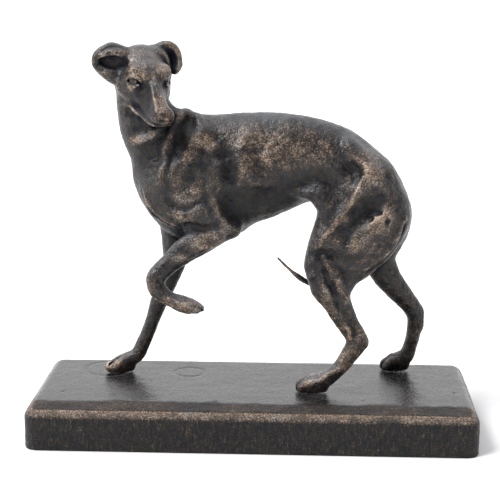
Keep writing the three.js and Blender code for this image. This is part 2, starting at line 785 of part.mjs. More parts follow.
function slabGeometry() {
  const levels = [[slabUnderRadius, 0], [0, slabUnderRadius]];
  for (let step = 0; step <= slabEdgeSteps; step += 1) {
    const angle = (step / slabEdgeSteps) * Math.PI / 2;
    levels.push([
      slabEdgeRadius * (1 - Math.cos(angle)),
      slabHeight - slabEdgeRadius * (1 - Math.sin(angle)),
    ]);
  }
  const rings = levels.map(([inset, level]) => slabOutline(inset).map(([x, y]) => [x, y, level]));
  const around = rings[0].length;
  const points = rings.flat(2);
  const faces = [];
  for (let ring = 0; ring + 1 < rings.length; ring += 1) {
    for (let step = 0; step < around; step += 1) {
      const a = ring * around + step;
      const b = ring * around + (step + 1) % around;
      faces.push(a, b, b + around, a, b + around, a + around);
    }
  }
  const top = (rings.length - 1) * around;
  for (let step = 1; step + 1 < around; step += 1) {
    faces.push(0, step + 1, step);
    faces.push(top, top + step, top + step + 1);
  }
  return geometryOf(points, faces);
}

function castPiece(name, geometry, colour) {
  const material = new THREE.MeshStandardMaterial({
    color: colour,
    roughness: ironRoughness,
    metalness: ironMetalness,
  });
  const mesh = new THREE.Mesh(geometry, material);
  mesh.name = name;
  return mesh;
}

const statue = new THREE.Group();
statue.add(castPiece('base', slabGeometry(), slabColour));
statue.add(castPiece('greyhound', houndGeometry(), ironColour));

export default statue;
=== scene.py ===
import math

import bpy
import numpy as np
from mathutils import Matrix, Vector


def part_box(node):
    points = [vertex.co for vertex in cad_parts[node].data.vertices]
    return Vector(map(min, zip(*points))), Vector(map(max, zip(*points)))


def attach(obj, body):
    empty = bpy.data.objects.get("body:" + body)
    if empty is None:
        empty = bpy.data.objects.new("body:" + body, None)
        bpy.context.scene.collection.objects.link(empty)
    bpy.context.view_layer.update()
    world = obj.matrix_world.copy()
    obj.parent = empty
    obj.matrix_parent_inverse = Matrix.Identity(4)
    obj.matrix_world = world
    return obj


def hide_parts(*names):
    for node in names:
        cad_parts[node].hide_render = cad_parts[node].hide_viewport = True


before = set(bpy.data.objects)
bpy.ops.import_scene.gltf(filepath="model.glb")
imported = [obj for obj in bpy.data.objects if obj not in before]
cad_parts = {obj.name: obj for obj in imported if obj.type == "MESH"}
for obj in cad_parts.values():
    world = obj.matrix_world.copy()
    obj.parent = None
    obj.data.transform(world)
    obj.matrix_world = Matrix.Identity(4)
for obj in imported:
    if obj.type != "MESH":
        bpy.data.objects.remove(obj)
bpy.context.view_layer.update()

# Cast iron dog statue: a hound cast in one piece, standing on a slab. Metres, +Z up.
# The figure is built in hundredths of its height, up from the slab's top, and the slab in millimetres.

FIGURE_HEIGHT = 0.196
SEAT_GAP = 0.0003
UNIT = FIGURE_HEIGHT / 100
MIDLINE = 4.6
STROKE_STEPS = 5
THINNEST = 0.2
FAR_AWAY = 1e3

# Camera, where the picture was taken from
CAMERA_PLACE = (0.0283, -0.687, 0.2576)
CAMERA_LENS_MM = 90
CAMERA_SENSOR_MM = 36
CAMERA_TURN = math.radians(2.54)
CAMERA_TILT = math.radians(77.37)
CAMERA_ROLL = math.radians(0.11)


def add_object(name, data):
    made = bpy.data.objects.new(name, data)
    bpy.context.collection.objects.link(made)
    return made


def add_camera():
    data = bpy.data.cameras.new("camera")
    data.lens = CAMERA_LENS_MM
    data.sensor_width = CAMERA_SENSOR_MM
    data.clip_end = 100
    camera = add_object("camera", data)
    turn = Matrix.Rotation(CAMERA_TURN, 4, "Z")
    tilt = Matrix.Rotation(CAMERA_TILT, 4, "X")
    roll = Matrix.Rotation(CAMERA_ROLL, 4, "Z")
    camera.matrix_world = Matrix.Translation(CAMERA_PLACE) @ turn @ tilt @ roll
    bpy.context.scene.camera = camera


add_camera()


# Strokes: tapering forms that follow a curve through their stations

def unit_vector(values):
    vector = np.array(values, float)
    return vector / np.linalg.norm(vector)


MUZZLE_WAY = unit_vector((0.4, -0.76, -0.51))
HEAD_LEFT = unit_vector((-MUZZLE_WAY[1], MUZZLE_WAY[0], 0))
CROWN_WAY = unit_vector(np.cross(MUZZLE_WAY, HEAD_LEFT))
SKULL_PLACE = np.array((-31.5, 2.2, 91.1))
ACROSS = np.array((0.0, 1.0, 0.0))


def in_head(forward, left, up):
    """A place in the head: forward along the muzzle, to its left, and up to the crown."""
    return list(SKULL_PLACE + MUZZLE_WAY * forward + HEAD_LEFT * left + CROWN_WAY * up)


def head(forward, left, up, *form):
    """A station of a stroke in the head."""
    return *in_head(forward, left, up), *form


def curve_through(values, steps=STROKE_STEPS):
    """A uniform Catmull-Rom curve through rows of numbers, its ends carried on straight."""
    rows = np.array(values, float)
    rows = np.vstack([2 * rows[0] - rows[1], rows, 2 * rows[-1] - rows[-2]])
    made = []
    count = len(values) - 1
    for i in range(count * steps + 1):
        span = min(i // steps, count - 1)
        t = i / steps - span
        p0, p1, p2, p3 = rows[span:span + 4]
        v0, v1 = (p2 - p0) / 2, (p3 - p1) / 2
        made.append((2 * p1 - 2 * p2 + v0 + v1) * t**3
                    + (-3 * p1 + 3 * p2 - 2 * v0 - v1) * t**2 + v0 * t + p1)
    return np.array(made)


def stroke(*stations, blend=2, wide=ACROSS, cut=False):
    """A station: its place, half the form's thickness, and its width as a share if it isn't 1."""
    beads = curve_through([[*station, 1][:5] for station in stations])
    beads[:, 3] = np.maximum(beads[:, 3], THINNEST)
    return {"beads": beads, "blend": blend, "wide": np.array(wide, float), "cut": cut}


def smoothstep(values, low, high):
    t = np.clip((values - low) / (high - low), 0, 1)
    return t * t * (3 - 2 * t)


def join(a, b, blend):
    overlap = np.maximum(blend - np.abs(a - b), 0) / blend
    return np.minimum(a, b) - overlap * overlap * (blend / 4)


def cell_corners(share):
    """The eight corners of a cell as steps, each with its part in a value within the cell."""
    for corner in range(8):
        steps = [(corner >> axis) & 1 for axis in range(3)]
        weight = np.ones(len(share[0]))
        for axis in range(3):
            weight = weight * (share[axis] if steps[axis] else 1 - share[axis])
        yield steps, weight


class Grid:
    """A field of distances, kept at the crossings of uneven grid lines."""

    SPARE = 1.2

    def __init__(self, xs, ys, zs):
        self.lines = [np.array(line, np.float32) for line in (xs, ys, zs)]
        self.values = np.full([len(line) for line in self.lines], FAR_AWAY, np.float32)

    def box(self, low, high):
        """The part of the field between two corners, as a slice of each axis."""
        return tuple(slice(np.searchsorted(line, start), np.searchsorted(line, end, side="right"))
                     for line, start, end in zip(self.lines, low, high))

    def open_lines(self, box=(slice(None),) * 3):
        """The lines of a box, each along its own axis of the field."""
        x, y, z = (line[part] for line, part in zip(self.lines, box))
        return x[:, None, None], y[None, :, None], z[None, None, :]

    def add(self, form):
        """Joins one stroke to the field, or cuts it out."""
        beads, blend, wide = form["beads"], form["blend"], form["wide"]
        reach = beads[:, 3] * np.maximum(beads[:, 4], 1)
        pads = (np.maximum(reach[:-1], reach[1:]) + blend + self.SPARE)[:, None]
        lows = np.minimum(beads[:-1, :3], beads[1:, :3]) - pads
        highs = np.maximum(beads[:-1, :3], beads[1:, :3]) + pads
        whole = self.box(lows.min(0), highs.max(0))
        start = [part.start for part in whole]
        nearest = np.full(self.values[whole].shape, FAR_AWAY, np.float32)
        for a, b, low, high in zip(beads[:-1], beads[1:], lows, highs):
            box = self.box(low, high)
            inner = tuple(slice(s.start - o, s.stop - o) for s, o in zip(box, start))
            gap = beyond_link(a, b, wide, self.open_lines(box))
            nearest[inner] = np.minimum(nearest[inner], gap)
        field = self.values[whole]
        if form["cut"]:
            self.values[whole] = np.where(nearest < FAR_AWAY / 2, -join(-field, nearest, blend), field)
        else:
            self.values[whole] = join(field, nearest, blend)

    def read(self, points):
        """The field between the grid lines, at any points."""
        index, share = [], []
        for axis in range(3):
            line = self.lines[axis]
            at = np.clip(np.searchsorted(line, points[:, axis]) - 1, 0, len(line) - 2)
            share.append(np.clip((points[:, axis] - line[at]) / (line[at + 1] - line[at]), 0, 1))
            index.append(at)
        total = np.zeros(len(points))
        for steps, weight in cell_corners(share):
            total += weight * self.values[tuple(index[axis] + steps[axis] for axis in range(3))]
        return total

    def slope(self, points, step):
        """The direction in which the field grows, at any points."""
        made = np.empty_like(points)
        for axis, offset in enumerate(np.eye(3) * step):
            made[:, axis] = self.read(points + offset) - self.read(points - offset)
        return made / (np.linalg.norm(made, axis=1, keepdims=True) + 1e-9)

    def skin(self):
        """Points and four-sided faces of the surface where the field is zero."""
        values = self.values
        inside = values < 0
        shape = np.array(values.shape)
        total = np.zeros(tuple(shape - 1) + (3,), np.float32)
        count = np.zeros(tuple(shape - 1), np.float32)
        crossings = []
        for axis in range(3):
            edge = np.argwhere(np.diff(inside, axis=axis))
            ahead = edge + np.eye(3, dtype=int)[axis]
            start, end = values[tuple(edge.T)], values[tuple(ahead.T)]
            place = np.stack([self.lines[k][edge[:, k]] for k in range(3)], 1)
            line = self.lines[axis]
            place[:, axis] += start / (start - end) * (line[ahead[:, axis]] - line[edge[:, axis]])
            crossings.append((edge, start < 0))
            others = [k for k in range(3) if k != axis]
            for back in np.ndindex(2, 2):
                cell = edge.copy()
                cell[:, others] -= back
                within_grid = ((cell >= 0) & (cell < shape - 1)).all(1)
                at = tuple(cell[within_grid].T)
                np.add.at(total, at, place[within_grid])
                np.add.at(count, at, 1)
        used = count > 0
        number = np.full(used.shape, -1, np.int64)
        number[used] = np.arange(used.sum())
        points = total[used] / count[used][:, None]
        faces = []
        for axis, (edge, starts_inside) in enumerate(crossings):
            others = [(axis + 1) % 3, (axis + 2) % 3]
            crossed = edge[:, others]
            off_rim = ((crossed > 0) & (crossed < shape[others] - 1)).all(1)
            edge, starts_inside = edge[off_rim], starts_inside[off_rim]
            corners = []
            for back in ((1, 1), (0, 1), (0, 0), (1, 0)):
                cell = edge.copy()
                cell[:, others] -= back
                corners.append(number[tuple(cell.T)])
            quads = np.stack(corners, 1)
            quads[~starts_inside] = quads[~starts_inside][:, ::-1]
            faces.append(quads)
        return points.astype(float), np.concatenate(faces)


def beyond_link(a, b, wide, lines):
    """How far points are outside the tapering form between two neighbouring beads."""
    squash = 1 - 2 / (a[4] + b[4])
    run = b[:3] - a[:3]
    run = run - wide * ((run @ wide) * squash)
    off = [lines[axis] - np.float32(a[axis]) for axis in range(3)]
    if np.array_equal(wide, ACROSS):
        off[1] = off[1] * np.float32(1 - squash)
    else:
        side = sum(off[axis] * np.float32(wide[axis] * squash) for axis in range(3))
        off = [off[axis] - side * np.float32(wide[axis]) for axis in range(3)]
    length = np.float32(run @ run + 1e-12)
    dot = sum(off[axis] * np.float32(run[axis]) for axis in range(3))
    t = np.clip(dot / length, 0, 1)
    square = sum(part * part for part in off) + t * (t * length - 2 * dot)
    gap = np.sqrt(np.maximum(square, 0))
    return gap - (np.float32(a[3]) + np.float32(b[3] - a[3]) * t)


# Trunk, neck, breast and withers
TRUNK = [
    stroke((-21.8, MIDLINE, 61.2, 11.9, 0.62), (-14.3, MIDLINE, 61.2, 16.9, 0.58),
           (-5.7, MIDLINE, 62.8, 16.4, 0.6), (2.9, MIDLINE, 64.6, 15, 0.6), (11.5, MIDLINE, 66.1, 12.9, 0.6),
           (20.1, MIDLINE, 65.6, 11.2, 0.66), (26.4, MIDLINE, 63.2, 9.9, 0.8),
           (31.9, MIDLINE, 59, 9.2, 0.95), (35, MIDLINE, 54.5, 8.4, 1), (37.2, MIDLINE, 50.3, 8, 1)),
    stroke((-32.8, 3.1, 86.4, 6.6, 0.9), (-31.4, 3.6, 80.2, 7.7, 0.82), (-30.2, 4.1, 74.2, 8, 0.8),
           (-26.6, 4.5, 68.1, 9, 0.76), (-23, MIDLINE, 62.9, 10.6, 0.7), blend=4),
    stroke((-28.8, MIDLINE, 60.5, 4, 1.3), (-26.6, MIDLINE, 53.5, 4.2, 1.2), (-22.4, MIDLINE, 47.8, 4, 1),
           (-14.5, MIDLINE, 45, 3.4, 1), (-6, MIDLINE, 48.2, 2.6, 1), blend=5),
    stroke((-24, MIDLINE, 77, 3.4, 0.9), (-19.6, MIDLINE, 77, 2.9, 0.9), (-13, MIDLINE, 73.5, 3, 0.9),
           blend=3),
]
# Head: skull, muzzle, jaw, nose, cheeks and brows
HEAD = [
    stroke(head(-2.4, 0, 0.2, 6, 1.12), head(2.6, 0, -0.2, 6, 1.1), blend=2.5, wide=HEAD_LEFT),
    stroke(head(4, 0, -1.2, 5, 1.15), head(9, 0, -2.3, 4.1, 1.05), head(13.5, 0.2, -2.6, 3.3, 1.1),
           head(17.4, 0.4, -2.7, 2.9, 1.25), blend=2.5, wide=HEAD_LEFT),
    stroke(head(1.5, 0, -5.2, 3.6, 1.4), head(8, 0.2, -6.2, 2.6, 1.4), head(15.8, 0.4, -5.4, 1.9, 1.4),
           blend=1.6, wide=HEAD_LEFT),
    stroke(head(18.6, 0.5, -1.4, 1.7, 1.3), head(19.4, 0.5, -2, 1.5, 1.3), blend=0.8, wide=HEAD_LEFT),
]
for side in (-1, 1):
    HEAD += [
        stroke(head(0.5, 4.6 * side, -2.6, 3.2), head(4.5, 3.6 * side, -3.4, 2.8)),
        stroke(head(4.6, 4.4 * side, 3.4, 1.7), head(6.8, 2.4 * side, 2.9, 1.7), blend=1.5),
    ]
# Bridge of the muzzle, its right edge and its crest
HEAD += [
    stroke(head(4.4, 0, 3.7, 1.5, 1.3), head(9.3, 0, 2, 1.45, 1.2), head(12.8, 0, 0.7, 1.4, 1.15),
           head(16.5, 0.1, -0.8, 1.35, 1.3), head(18.6, 0.3, -1.5, 1.2, 1.5), blend=1.6, wide=HEAD_LEFT),
    stroke(head(9, -1, 2.9, 0.45), head(10.9, -1.2, 2.4, 0.5), head(14, -1.4, 1.2, 0.6),
           head(17.9, -1.8, -0.3, 0.6), blend=0.6),
    stroke(head(5.6, 0.1, 5.1, 0.5), head(9.3, -0.1, 3.5, 0.5), head(12.6, -0.1, 2.2, 0.5),
           head(15.6, 0, 0.9, 0.4), blend=0.4),
]


def side_of_face(side):
    """Strokes on one side of the face. Near the nose their places lean a little to the left."""

    def at(forward, out, up, *form, lean=0):
        return head(forward, out * side + lean, up, *form)

    return [
        # Flat side of the muzzle
        stroke(at(10.2, 5.3, 1, 2.3), at(13.1, 5.1, -0.6, 2.6), at(16, 4.9, -0.6, 2.2), blend=1.6, cut=True),
        # Eye: its socket, the ball, and the two lids
        stroke(at(5.4, 6.5, 1.1, 1.1), at(6.5, 6, 1.5, 1.45), at(7.7, 4.9, 1.9, 1.1), blend=0.8, cut=True),
        stroke(at(5.9, 5, 1.3, 0.95), at(6.7, 4.5, 1.5, 0.9), blend=0.15),
        stroke(at(4.6, 6.5, 0.7, 0.4), at(5.3, 6.1, 2.2, 0.55), at(6.3, 5.3, 3, 0.6), at(7.3, 4.3, 3, 0.55),
               at(8.1, 3.6, 2.4, 0.4), blend=0.45),
        stroke(at(5, 6.3, 0.3, 0.4), at(6.2, 5.9, -0.1, 0.55), at(7.3, 5, 0.1, 0.6),
               at(8.2, 4, 1.2, 0.45), blend=0.45),
        # Cheekbone, the mouth's line, the lower lip and a nostril
        stroke(at(1.8, 7.4, -2.2, 0.8), at(3.4, 6.8, -3.4, 0.9), at(6.4, 5.4, -3.8, 0.8), blend=1.2),
        stroke(at(19.9, 1.2, -3.9, 0.3, lean=0.4), at(17.6, 3.1, -4.1, 0.35, lean=0.3),
               at(13, 3.9, -4.9, 0.35), at(8.6, 4.7, -5.4, 0.3), blend=0.5, cut=True),
        stroke(at(18, 2.2, -4.9, 0.45, lean=0.4), at(14, 3.2, -5.9, 0.5, lean=0.2), at(8.6, 4, -6.9, 0.3),
               blend=1.2),
        stroke(at(20.7, 0.9, -2, 0.3, lean=0.5), at(20.1, 1.6, -2, 0.3, lean=0.5), blend=0.4, cut=True),
    ]


HEAD += [*side_of_face(-1), *side_of_face(1)]

# Ears: a thin back wall, and a rolled rim round it
EARS = [
    stroke((-38.2, 1.2, 94.3, 3.2, 0.5), (-41.2, 0.4, 93.8, 3.4, 0.4), blend=1.5),
    stroke((-36.6, 1.6, 96.2, 1.8), (-40.3, 0.4, 97.7, 1.7), (-43.5, -0.8, 96, 1.3),
           (-44.1, -1.4, 93.7, 1.2), (-42.6, -1.3, 91.4, 1.3), (-39.6, -0.4, 89.4, 1.6), blend=1.2),
    stroke((-28.9, 5.4, 95.2, 2.2), (-26.4, 5.6, 94.6, 2.3), (-24.8, 5.2, 92.1, 1.6), blend=1.6),
    stroke((-28.6, 6.4, 96.6, 1.8), (-25.3, 6.6, 97.9, 1.6), (-22.9, 6.4, 97, 1.3), (-21.8, 6, 94.7, 1.1),
           (-21.7, 5.4, 92.5, 1.1), (-22.6, 4.8, 90.9, 1), blend=1.2),
    # Outer wall of the left ear, the hollows that face forward, and the folds beside them
    stroke((-26.2, 7.2, 96, 1.5, 0.7), (-24, 7.2, 94.6, 1.7, 0.6), (-23.4, 6.6, 92.6, 1.4, 0.6), blend=0.8),
    stroke((-35.6, 0.2, 95.4, 1.2), (-39.4, -1.2, 96.6, 1.1), (-42.6, -1.9, 95.6, 0.7), blend=0.8),
    stroke((-36.4, -1.9, 93.2, 1.5), (-39.4, -2.8, 93.6, 1.8), (-42, -3.2, 93.7, 1.3), blend=0.9, cut=True),
    stroke((-37.4, -0.6, 90.4, 1), (-40.2, -1.3, 91, 0.9), (-42.6, -1.9, 92.2, 0.7), blend=0.7),
    stroke((-24.6, 3.6, 95.3, 0.9), (-23.2, 3.8, 93.6, 1.05), (-23.3, 3.2, 91.8, 0.8), blend=0.8, cut=True),
    stroke((-27.6, 4.2, 96.3, 1.2), (-25.6, 4, 94.6, 1.3), (-24.8, 3.6, 92.3, 1.1), blend=0.9),
]
# Limbs
LIMBS = [
    # Left foreleg, lifted and folded at the wrist
    stroke((-24.5, -1.5, 57.5, 6.2, 0.6), (-16, -2.4, 53, 6.6, 0.6), (-9.5, -2.6, 49.4, 4.4, 0.8),
           (-6.2, -2.6, 47.6, 2.6, 0.9), blend=4),
    stroke((-7.2, -2.6, 47.7, 3.2, 0.8), (-13, -2.6, 44.9, 4, 0.75), (-19, -2.6, 41.1, 3.7, 0.75),
           (-23.6, -3.1, 37.3, 3, 0.8), (-28, -3.6, 32.8, 2.8, 0.9), (-27.2, -4.1, 29, 2.5, 0.9),
           (-23.6, -4.6, 26.7, 2.2, 1), (-19.8, -5.1, 25.3, 2.5, 1.1), (-16.6, -5.6, 24.6, 1.9, 1.2),
           (-14.6, -5.9, 24.2, 1, 1.2)),
    # Right foreleg, standing forward
    stroke((-23.4, 9.6, 54, 6, 0.6), (-23.4, 10.2, 45.6, 4.8, 0.75), (-23.8, 10.2, 39.7, 4, 0.8),
           (-24, 10.2, 34.4, 3.5, 0.8), (-25.9, 10.3, 28.6, 2.8, 0.85), (-28.9, 10.5, 21.8, 2.5, 0.95),
           (-31.4, 10.5, 14.8, 2, 0.95), (-33.9, 10.7, 8.7, 2.1, 1), (-36, 10.7, 5, 2.2, 1.15),
           (-40.2, 10.2, 2.9, 2.3, 1.2), (-43.8, 9.5, 1.6, 1.7, 1.3), blend=3),
    # Fold of skin between the belly and the left thigh
    stroke((13.5, -0.5, 58.2, 1.9), (17.4, -1.2, 56.8, 2), (20.6, -1.8, 53.4, 2), blend=3),
    # Left hind leg: front and back of the thigh, then shin, hock and foot
    stroke((32.5, 1.2, 60.5, 7.4, 0.7), (27.8, -0.4, 51.4, 8.7, 0.6), (22.9, -1.4, 43, 7.1, 0.62),
           (19.2, -2, 36.8, 4.7, 0.75), (20.4, -2.2, 30.8, 4.2, 0.75), blend=3),
    stroke((37, 1.4, 54, 6.2, 0.75), (35.4, -0.2, 46, 7, 0.64), (30.4, -1, 40, 6.6, 0.6),
           (25.4, -1.8, 34.6, 5.4, 0.62), (23.3, -2.4, 28.9, 4.7, 0.7), (24.8, -3.1, 24.3, 3.8, 0.75),
           (27.2, -3.7, 19.7, 3.2, 0.8), (29.7, -4.5, 15.2, 3, 0.85), (27.3, -4.8, 10.2, 2.5, 0.9),
           (24.6, -5.4, 6.6, 2.1, 1), (21, -5.8, 3.8, 2.4, 1.1), (17, -5.6, 2.5, 2.4, 1.1),
           (13.8, -5.2, 1.6, 1.6, 1.3), blend=3),
    stroke((31, -4.6, 15.6, 1.4), (31.9, -4.6, 14.4, 1.2), blend=1.6),
    # Right hind leg, set back
    stroke((35, 8, 56, 7, 0.75), (37.8, 9.4, 46.6, 7.4, 0.62), (36.4, 10.2, 37.4, 5, 0.66),
           (38.6, 10.8, 31.2, 4.2, 0.7), (42.3, 11.7, 26.2, 3.4, 0.75), (46.3, 12.8, 21.4, 2.9, 0.8),
           (48.3, 13.8, 17.2, 2.8, 0.85), (47.7, 14.3, 12.6, 2.2, 0.9), (47, 15.1, 8.2, 2, 1),
           (45.6, 15.6, 4.4, 2.4, 1.05), (42.5, 16.1, 2.8, 2.3, 1.2), (39.8, 16.3, 1.7, 1.7, 1.3), blend=3),
]
# Tail: tucked under between the hind legs, with its tip free below the belly
TAIL = stroke((39.6, MIDLINE, 58.5, 2.4), (42.4, MIDLINE, 52.7, 1.9), (42.8, MIDLINE, 46.6, 1.5),
              (40.2, MIDLINE, 41, 1.3), (35.9, MIDLINE, 36, 1.2), (30.2, 4.3, 31.2, 1.1),
              (23.9, 4.1, 28.8, 1), (17.4, 3.1, 29.6, 0.85), (12.2, 2, 32.7, 0.65), (6.8, 1, 37.9, 0.35))

LEFT_FLANK = -1
RIGHT_FLANK = 1
FLANK_REACH = 25
FLANK_STEPS = 400
STRAY = 0.28


def flank_places(grid, along, up, flank):
    """Across-places of the surface that is met first when coming in from one side."""
    steps = np.linspace(MIDLINE + FLANK_REACH * flank, MIDLINE, FLANK_STEPS)
    places = np.stack(np.broadcast_arrays(along[:, None], steps[None, :], up[:, None]), 2)
    values = grid.read(places.reshape(-1, 3)).reshape(len(along), -1)
    first = np.maximum((values < 0).argmax(1), 1)
    row = np.arange(len(along))
    outside, inside = values[row, first - 1], values[row, first]
    share = np.clip(outside / np.maximum(outside - inside, 1e-6), 0, 1)
    return steps[first - 1] + (steps[first] - steps[first - 1]) * share


def hand_cut(form, seed):
    """The same form with wandering, uneven edges and fading ends, as if cut by hand."""
    beads = form["beads"].copy()
    count = len(beads)
    wander = np.random.RandomState(seed).normal(size=(count + 4, 3))
    wander = (wander[:-4] + 2 * wander[1:-3] + 3 * wander[2:-2] + 2 * wander[3:-1] + wander[4:]) / 4.4
    beads[:, 0] += STRAY * wander[:, 0]
    beads[:, 2] += STRAY * wander[:, 1]
    along = np.linspace(0, 1, count)
    fade = smoothstep(np.minimum(along, 1 - along), -0.02, 0.28)
    beads[:, 3] *= (0.6 + 0.4 * fade) * (1 + 0.12 * wander[:, 2])
    return {**form, "beads": beads}


def on_flank(grid, form, flank):
    stations, options = form
    rows = np.array(stations, float)
    across = flank_places(grid, rows[:, 0], rows[:, 1], flank) - rows[:, 3] * flank
    return stroke(*[(row[0], place, row[1], row[2]) for row, place in zip(rows, across)], **options)


def laid_on(grid, on_both, on_left):
    """Ridges and grooves that follow the flanks as they are now."""
    laid = [on_flank(grid, form, flank) for flank in (LEFT_FLANK, RIGHT_FLANK) for form in on_both]
    return laid + [on_flank(grid, form, LEFT_FLANK) for form in on_left]


def ridge(*stations, blend=1):
    """Along a flank. A station: along, up, half the thickness, and how deep its middle lies."""
    return stations, {"blend": blend}


def groove(*stations, blend=1.4):
    return stations, {"blend": blend, "cut": True}


# Large muscles on both flanks, and then on the left one
BOTH_FLANKS = [
    ridge((-14.5, 73.5, 2.6, 1.7), (-18.6, 68.5, 3, 1.9), (-22.5, 62, 3.2, 2), blend=2),
    ridge((-9.5, 64, 3.4, 2.4), (-10, 57, 3.8, 2.4), (-7.4, 51, 2.4, 1.4), blend=2),
    ridge((26.6, 71, 2, 1.4), (29.4, 68.6, 1.9, 1.2), (33.4, 63.6, 2.4, 1.5), blend=2),
    groove((26.4, 64.9, 2.4, -2.3), (28.8, 61.4, 2.2, -2.1), blend=2.4),
]
LEFT_CARVING = [
    ridge((-21.9, 78.2, 1.3, 0.6), (-23, 72.5, 1.4, 0.7), (-24.8, 66, 1.4, 0.7), (-26.6, 59.5, 1.4, 0.8),
          blend=1.5),
    ridge((33.2, 63.5, 1.8, 0.8), (28.7, 57.5, 1.8, 0.7), (23.4, 50.4, 1.8, 0.7), (17.6, 42, 1.6, 0.9),
          blend=2),
    ridge((37.6, 51, 2, 1), (33.4, 47.4, 2.2, 1), (27.9, 42.2, 2, 1), blend=2),
    groove((34.6, 55.4, 2.4, -2), (29.8, 51, 2.8, -2.2), (25.6, 46.4, 2, -1.7), blend=3),
]

# Finer carving, laid over the muscles on both flanks, and then on the left one
BOTH_FINE = [
    # Belly hollow under the ribs, and the ribs' lower edge
    groove((-5, 55.6, 3.8, -4), (1.3, 56.2, 4.6, -4.9), (7, 57.8, 4.6, -4.9), (13, 60.6, 4, -4.3),
           (17.5, 63.6, 3.2, -3.5), blend=5),
    ridge((-2.2, 71.5, 2.4, 2), (-3, 67, 2.6, 2), (-1, 63, 2.4, 1.9), (3.5, 60.8, 2, 1.8), blend=4),
    groove((2.4, 73, 2, -2), (1.6, 69, 2.2, -2), (3.4, 65.2, 2, -2), blend=3),
    # Hollow behind the shoulder
    groove((-9.6, 73, 1.6, -1), (-7.9, 69.4, 2, -1.3), (-6.2, 65.6, 1.8, -1.2), (-5.5, 62, 1.4, -0.9),
           blend=2.5),
    # Edge of the upper arm, and the hollow behind it
    ridge((-11.8, 58.5, 1.3, 0.95), (-10.4, 54.1, 1.2, 0.8), (-9, 51, 1.2, 0.8), (-7, 48.2, 1.2, 0.8)),
    groove((-7, 57.5, 2.4, -1.9), (-5.4, 53.5, 2.6, -1.9), (-3.8, 50, 2.4, -1.8), blend=2),
    # Keel of the chest
    ridge((-32.2, 57.2, 0.6, 0.25), (-30.8, 53.8, 0.65, 0.2), (-28.1, 50.2, 0.65, 0.15),
          (-24.9, 48.3, 0.65, 0.15), (-21.7, 46.8, 0.6, 0.25), blend=0.8),
    ridge((-31.2, 58.3, 0.6, 0.3), (-29.7, 54.9, 0.65, 0.2), (-27.2, 51.4, 0.65, 0.15),
          (-24.2, 49.5, 0.65, 0.15), (-21.2, 48, 0.6, 0.25), blend=0.8),
    # Point of the hip
    ridge((26, 69.6, 1.5, 1.2), (28.9, 67.4, 1.5, 1.1), (31.6, 64.4, 1.5, 1), (34, 61.6, 1.6, 1),
          (37.7, 58.2, 1.6, 1.1), blend=2),
    groove((26.6, 65.4, 1.2, -1), (28.6, 63, 1.4, -1.1), (29.6, 61, 1.2, -1), blend=2.2),
]
